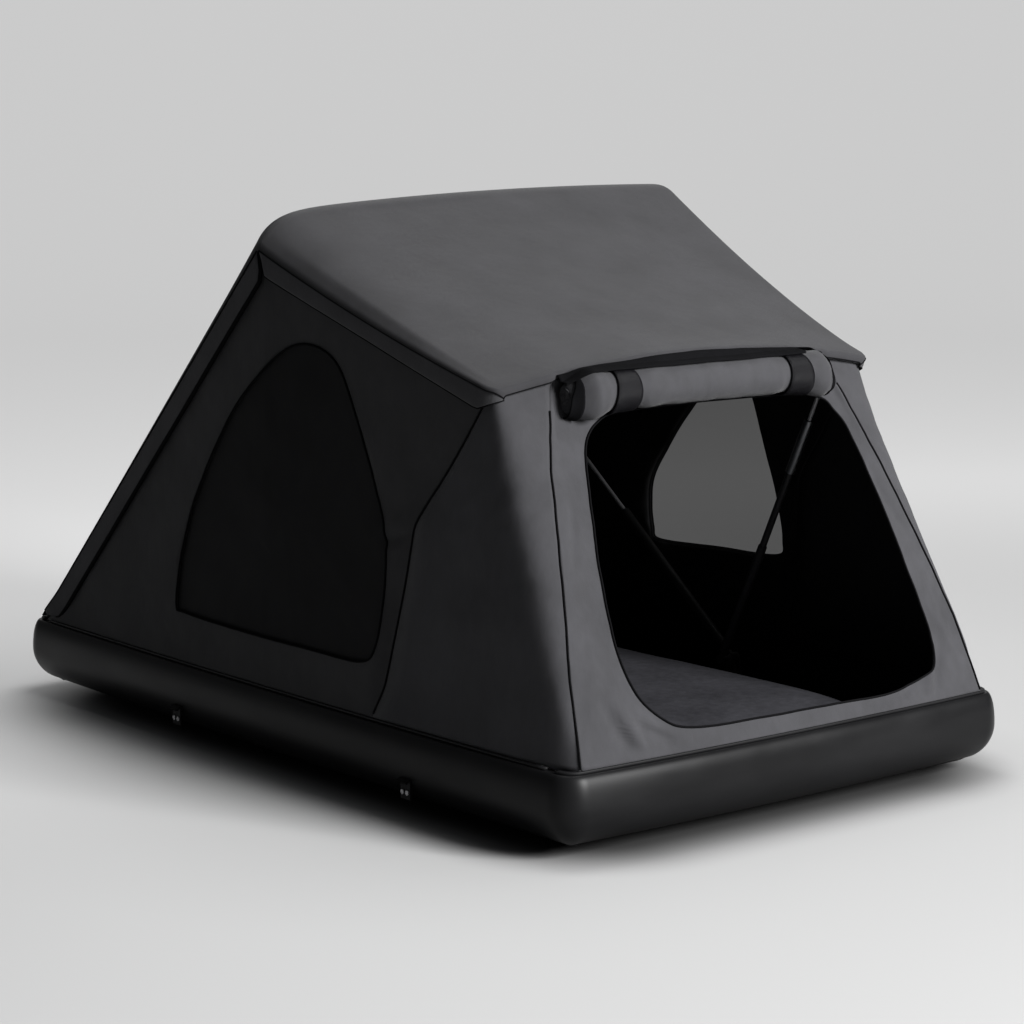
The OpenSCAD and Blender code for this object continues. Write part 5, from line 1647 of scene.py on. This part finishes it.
class Hardware:
    """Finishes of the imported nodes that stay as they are."""

    def __init__(self, finishes: Finishes, nodes: dict[str, bpy.types.Object]) -> None:
        """Keeps the finishes and the nodes."""
        self.finishes = finishes
        self.nodes = nodes

    def build(self) -> None:
        """Gives each remaining node its finish."""
        f = self.finishes
        named = {"floor_panel": f.board, "left_mounting_rail": f.rail, "right_mounting_rail": f.rail,
                 "rail_bolts": f.steel, "strap_hooks": f.rim, "hook_screws": f.steel,
                 "left_hinge_bracket": f.tube, "right_hinge_bracket": f.tube, "hinge_screws": f.steel,
                 "hinge_pins": f.steel, "left_strut_bracket": f.tube, "right_strut_bracket": f.tube,
                 "strut_pins": f.steel, "ridge_pins": f.steel, "ridge_bow": f.tube, "front_rail": f.tube}
        for side in Side:
            s = side.word
            named.update({f"{s}_rear_leg": f.tube, f"{s}_roof_rail": f.tube, f"{s}_strut_tube": f.cylinder,
                          f"{s}_strut_rod": f.rod, f"{s}_stay_tube": f.tube, f"{s}_stay_collar": f.collar,
                          f"{s}_stay_rod": f.rod})
        for name, finish in named.items():
            dress(self.nodes[name], finish)


def aim(thing: bpy.types.Object, place: Sequence[float], ahead: Vector) -> None:
    """Puts a light or camera into the scene, at a place and looking along a direction."""
    thing.location = place
    thing.rotation_mode = "QUATERNION"
    thing.rotation_quaternion = ahead.to_track_quat("-Z", "Y")
    bpy.context.scene.collection.objects.link(thing)


@dataclass(frozen=True)
class Softbox:
    """A square soft light at a place, turned to a target."""

    name: str
    place: Triple
    target: Triple
    size: float
    watts: float

    def build(self) -> None:
        """Adds the light to the scene."""
        lamp = bpy.data.lights.new(self.name, "AREA")
        lamp.shape = "SQUARE"
        lamp.size = self.size
        lamp.energy = self.watts
        aim(bpy.data.objects.new(self.name, lamp), self.place, Vector(self.target) - Vector(self.place))


@dataclass
class Studio:
    """Floor, backdrop, lights and the camera.

    The floor's colour holds painted light and shade: it is painted lighter towards the camera's left, and a
    painted contact shadow darkens it near the part's footprint. Its glow behind the part is painted light
    over the part's cast shadow. Shade and glow ease from one value to another over a span of places: beside
    and behind the middle of the floor as the camera sees it, or outside the part's footprint.
    """

    floor_rgb: Triple = (0.34, 0.34, 0.34)
    lightest: float = 1.6
    floor_half: float = 24.0
    floor_run: Span = (-14.0, 10.0)
    sweep_r: float = 6.0
    wall_rise: Span = (9.0, 16.0)
    # the box, shifted towards the door end, round which the painted contact shadow and the glow's gap are
    # measured
    foot: Triple = (0.40, 0.75, 0.0)
    foot_shift: Triple = (0.0, 0.10, 0.0)
    wall_from: Span = (1.2, 4.5)
    shade_base: float = 0.42
    # painted light: the near floor's colour is lighter towards the camera's left and darker to its right
    shade_beside: tuple[Span, Span] = ((-1.8, 1.8), (0.38, 0.09))
    # painted contact shadow: the floor's colour is 0.07 of its own within 0.17 m of the foot box, and full
    # past 0.42 m
    shade_under: tuple[Span, Span] = ((0.17, 0.42), (0.07, 1.0))
    # painted light: a glow on the floor behind the part, stronger to the left and kept off the footprint,
    # over the part's cast shadow
    glow_behind: tuple[Span, Span] = ((-1.6, 1.8), (0.0, 0.37))
    glow_beside: tuple[Span, Span] = ((-1.6, 1.6), (1.0, 0.48))
    glow_under: tuple[Span, Span] = ((0.27, 0.62), (0.0, 1.0))
    glow_far: tuple[Span, Span] = ((4.2, 7.5), (1.0, 0.12))
    wall_glow: float = 0.52
    air_rgb: Triple = (0.95, 0.97, 1.0)
    air_strength: float = 0.12
    lights: Sequence[Softbox] = (
        Softbox("key_softbox", (1.5, -6.6, 3.1), (0.0, -0.3, 0.5), 2.6, 1520),
        Softbox("top_softbox", (1.2, 0.8, 5.2), (0.0, 0.0, 0.6), 3.0, 160))
    azimuth: float = np.radians(-38.9)
    elevation: float = np.radians(9.0)
    place: Triple = (-4.245, -5.368, 1.616)
    lens: float = 100.5
    sensor: float = 36.0

    def backdrop(self) -> None:
        """A pale sweep: a floor that turns up by an arc into a wall far behind, as one smooth sheet."""
        a = np.linspace(0, np.pi / 2, 24)[1:]
        near, far = self.floor_run
        bend = far + self.sweep_r * np.sin(a)
        run = np.concatenate([np.linspace(near, far, 20), bend, [bend[-1], bend[-1]]])[:, None]
        rise = np.concatenate([np.zeros(20), self.sweep_r * (1 - np.cos(a)), self.wall_rise])[:, None]
        across = np.linspace(-self.floor_half, self.floor_half, 12)[None, :]
        c, s = np.cos(self.azimuth), -np.sin(self.azimuth)
        points = stack(across * c + run * s, run * c - across * s, rise - 0.0005)
        sheet = make_piece("studio_sweep", points, inside=(0, 0, -50))
        sheet.data.materials.append(self.paper((c, -s, 0.0), (s, c, 0.0)))
        sheet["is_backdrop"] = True

    def paper(self, right: Triple, ahead: Triple) -> bpy.types.Material:
        """The sweep's finish: a painted contact shadow under the part, painted light towards the left, and a
        glow behind it that paints light over the part's cast shadow.

        The glow shows to the camera, in gloss and through glass only, so that it lights nothing.

        Args:
            right: The level direction to the camera's right.
            ahead: The level direction away from the camera.

        Returns:
            The material.
        """
        n = Nodes("studio_paper")
        beside, behind, gap = self.along(n, right), self.along(n, ahead), self.outside(n)
        floor = self.ease(n, behind, self.wall_from, (1.0, 0.0))
        # painted light: the near floor's colour grows lighter towards the camera's left
        level = n.math("MULTIPLY", self.ease(n, beside, *self.shade_beside), floor)
        level = n.math("ADD", level, self.shade_base)
        # painted contact shadow: the floor's colour darkens near the part's footprint
        level = n.math("MULTIPLY", level, self.ease(n, gap, *self.shade_under))
        n.colour(level, [(0.0, (0.0, 0.0, 0.0)), (1.0, shade(self.floor_rgb, self.lightest))])
        # painted light: the glow behind the part fills its cast shadow on the floor
        glow = self.ease(n, behind, *self.glow_behind)
        for share in (self.ease(n, beside, *self.glow_beside), self.ease(n, gap, *self.glow_under), floor):
            glow = n.math("MULTIPLY", glow, share)
        glow = n.math("ADD", glow, self.ease(n, behind, self.wall_from, (0.0, self.wall_glow)))
        far = self.ease(n, n.math("ABSOLUTE", beside, 0.0), *self.glow_far)
        rays = n.node("LightPath").outputs
        seen = n.math("MAXIMUM", rays["Is Camera Ray"], rays["Is Glossy Ray"])
        seen = n.math("MAXIMUM", seen, rays["Is Transmission Ray"])
        glow = n.math("MULTIPLY", n.math("MULTIPLY", glow, far), seen)
        n.link(glow, n.shader.inputs["Emission Strength"])
        n.value(Roughness=0.95, Specular_IOR_Level=0.1, Emission_Color=(1.0, 1.0, 1.0, 1.0))
        return n.material

    @staticmethod
    def along(n: Nodes, direction: Triple) -> bpy.types.NodeSocket:
        """How far a point lies along a level direction from the middle of the floor."""
        made = n.node("VectorMath", operation="DOT_PRODUCT")
        made.inputs[1].default_value = direction
        n.link(n.coords.outputs["Object"], made.inputs[0])
        return made.outputs["Value"]

    def outside(self, n: Nodes) -> bpy.types.NodeSocket:
        """How far a point lies outside the part's footprint: the length of what |p + shift| - foot leaves."""
        last = n.coords.outputs["Object"]
        zero = (0.0, 0.0, 0.0)
        for operation, other in (("ADD", self.foot_shift), ("ABSOLUTE", zero), ("SUBTRACT", self.foot),
                                 ("MAXIMUM", zero)):
            made = n.node("VectorMath", operation=operation)
            n.link(last, made.inputs[0])
            made.inputs[1].default_value = other
            last = made.outputs["Vector"]
        size = n.node("VectorMath", operation="LENGTH")
        n.link(last, size.inputs[0])
        return size.outputs["Value"]

    @staticmethod
    def ease(n: Nodes, source: bpy.types.NodeSocket, span: Span, to: Span) -> bpy.types.NodeSocket:
        """Maps a socket smoothly from one span of values to another."""
        made = n.node("MapRange", interpolation_type="SMOOTHSTEP")
        for key, value in zip(("From Min", "From Max", "To Min", "To Max"), (*span, *to)):
            made.inputs[key].default_value = value
        n.link(source, made.inputs["Value"])
        return made.outputs["Result"]

    def build(self) -> None:
        """Makes the stage, the lights and the camera."""
        self.backdrop()
        scene = bpy.context.scene
        scene.view_settings.view_transform = "Standard"
        scene.world = bpy.data.worlds.new("studio_air")
        scene.world.use_nodes = True
        air = scene.world.node_tree.nodes["Background"].inputs
        air["Color"].default_value = (*self.air_rgb, 1.0)
        air["Strength"].default_value = self.air_strength
        for light in self.lights:
            light.build()
        view = bpy.data.cameras.new("photo_camera")
        view.lens = self.lens
        view.sensor_width = self.sensor
        view.sensor_fit = "HORIZONTAL"
        camera = bpy.data.objects.new("photo_camera", view)
        a, e = self.azimuth, self.elevation
        ahead = Vector((-np.sin(a) * np.cos(e), np.cos(a) * np.cos(e), -np.sin(e)))
        aim(camera, self.place, ahead)
        scene.camera = camera


def corners(box: tuple) -> list[list[float]]:
    """A box as two plain lists of numbers."""
    return [[float(c) for c in corner] for corner in box]


def main() -> None:
    """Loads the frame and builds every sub-assembly."""
    logging.basicConfig(level=logging.INFO, format="%(name)s %(message)s")
    for name in list(bpy.data.objects.keys()):
        bpy.data.objects.remove(bpy.data.objects[name])
    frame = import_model()
    cad_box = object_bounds()
    finishes = Finishes()
    Studio().build()
    Hardware(finishes, frame["nodes"]).build()
    Hull(finishes).build()
    canopy = Canopy(finishes)
    canopy.build()
    Walls(finishes).build()
    DoorRoll(finishes, canopy).build()
    Mattress(finishes).build()
    {"cad": corners(cad_box), "visual": corners(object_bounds())}


if __name__ == "__main__":
    main()
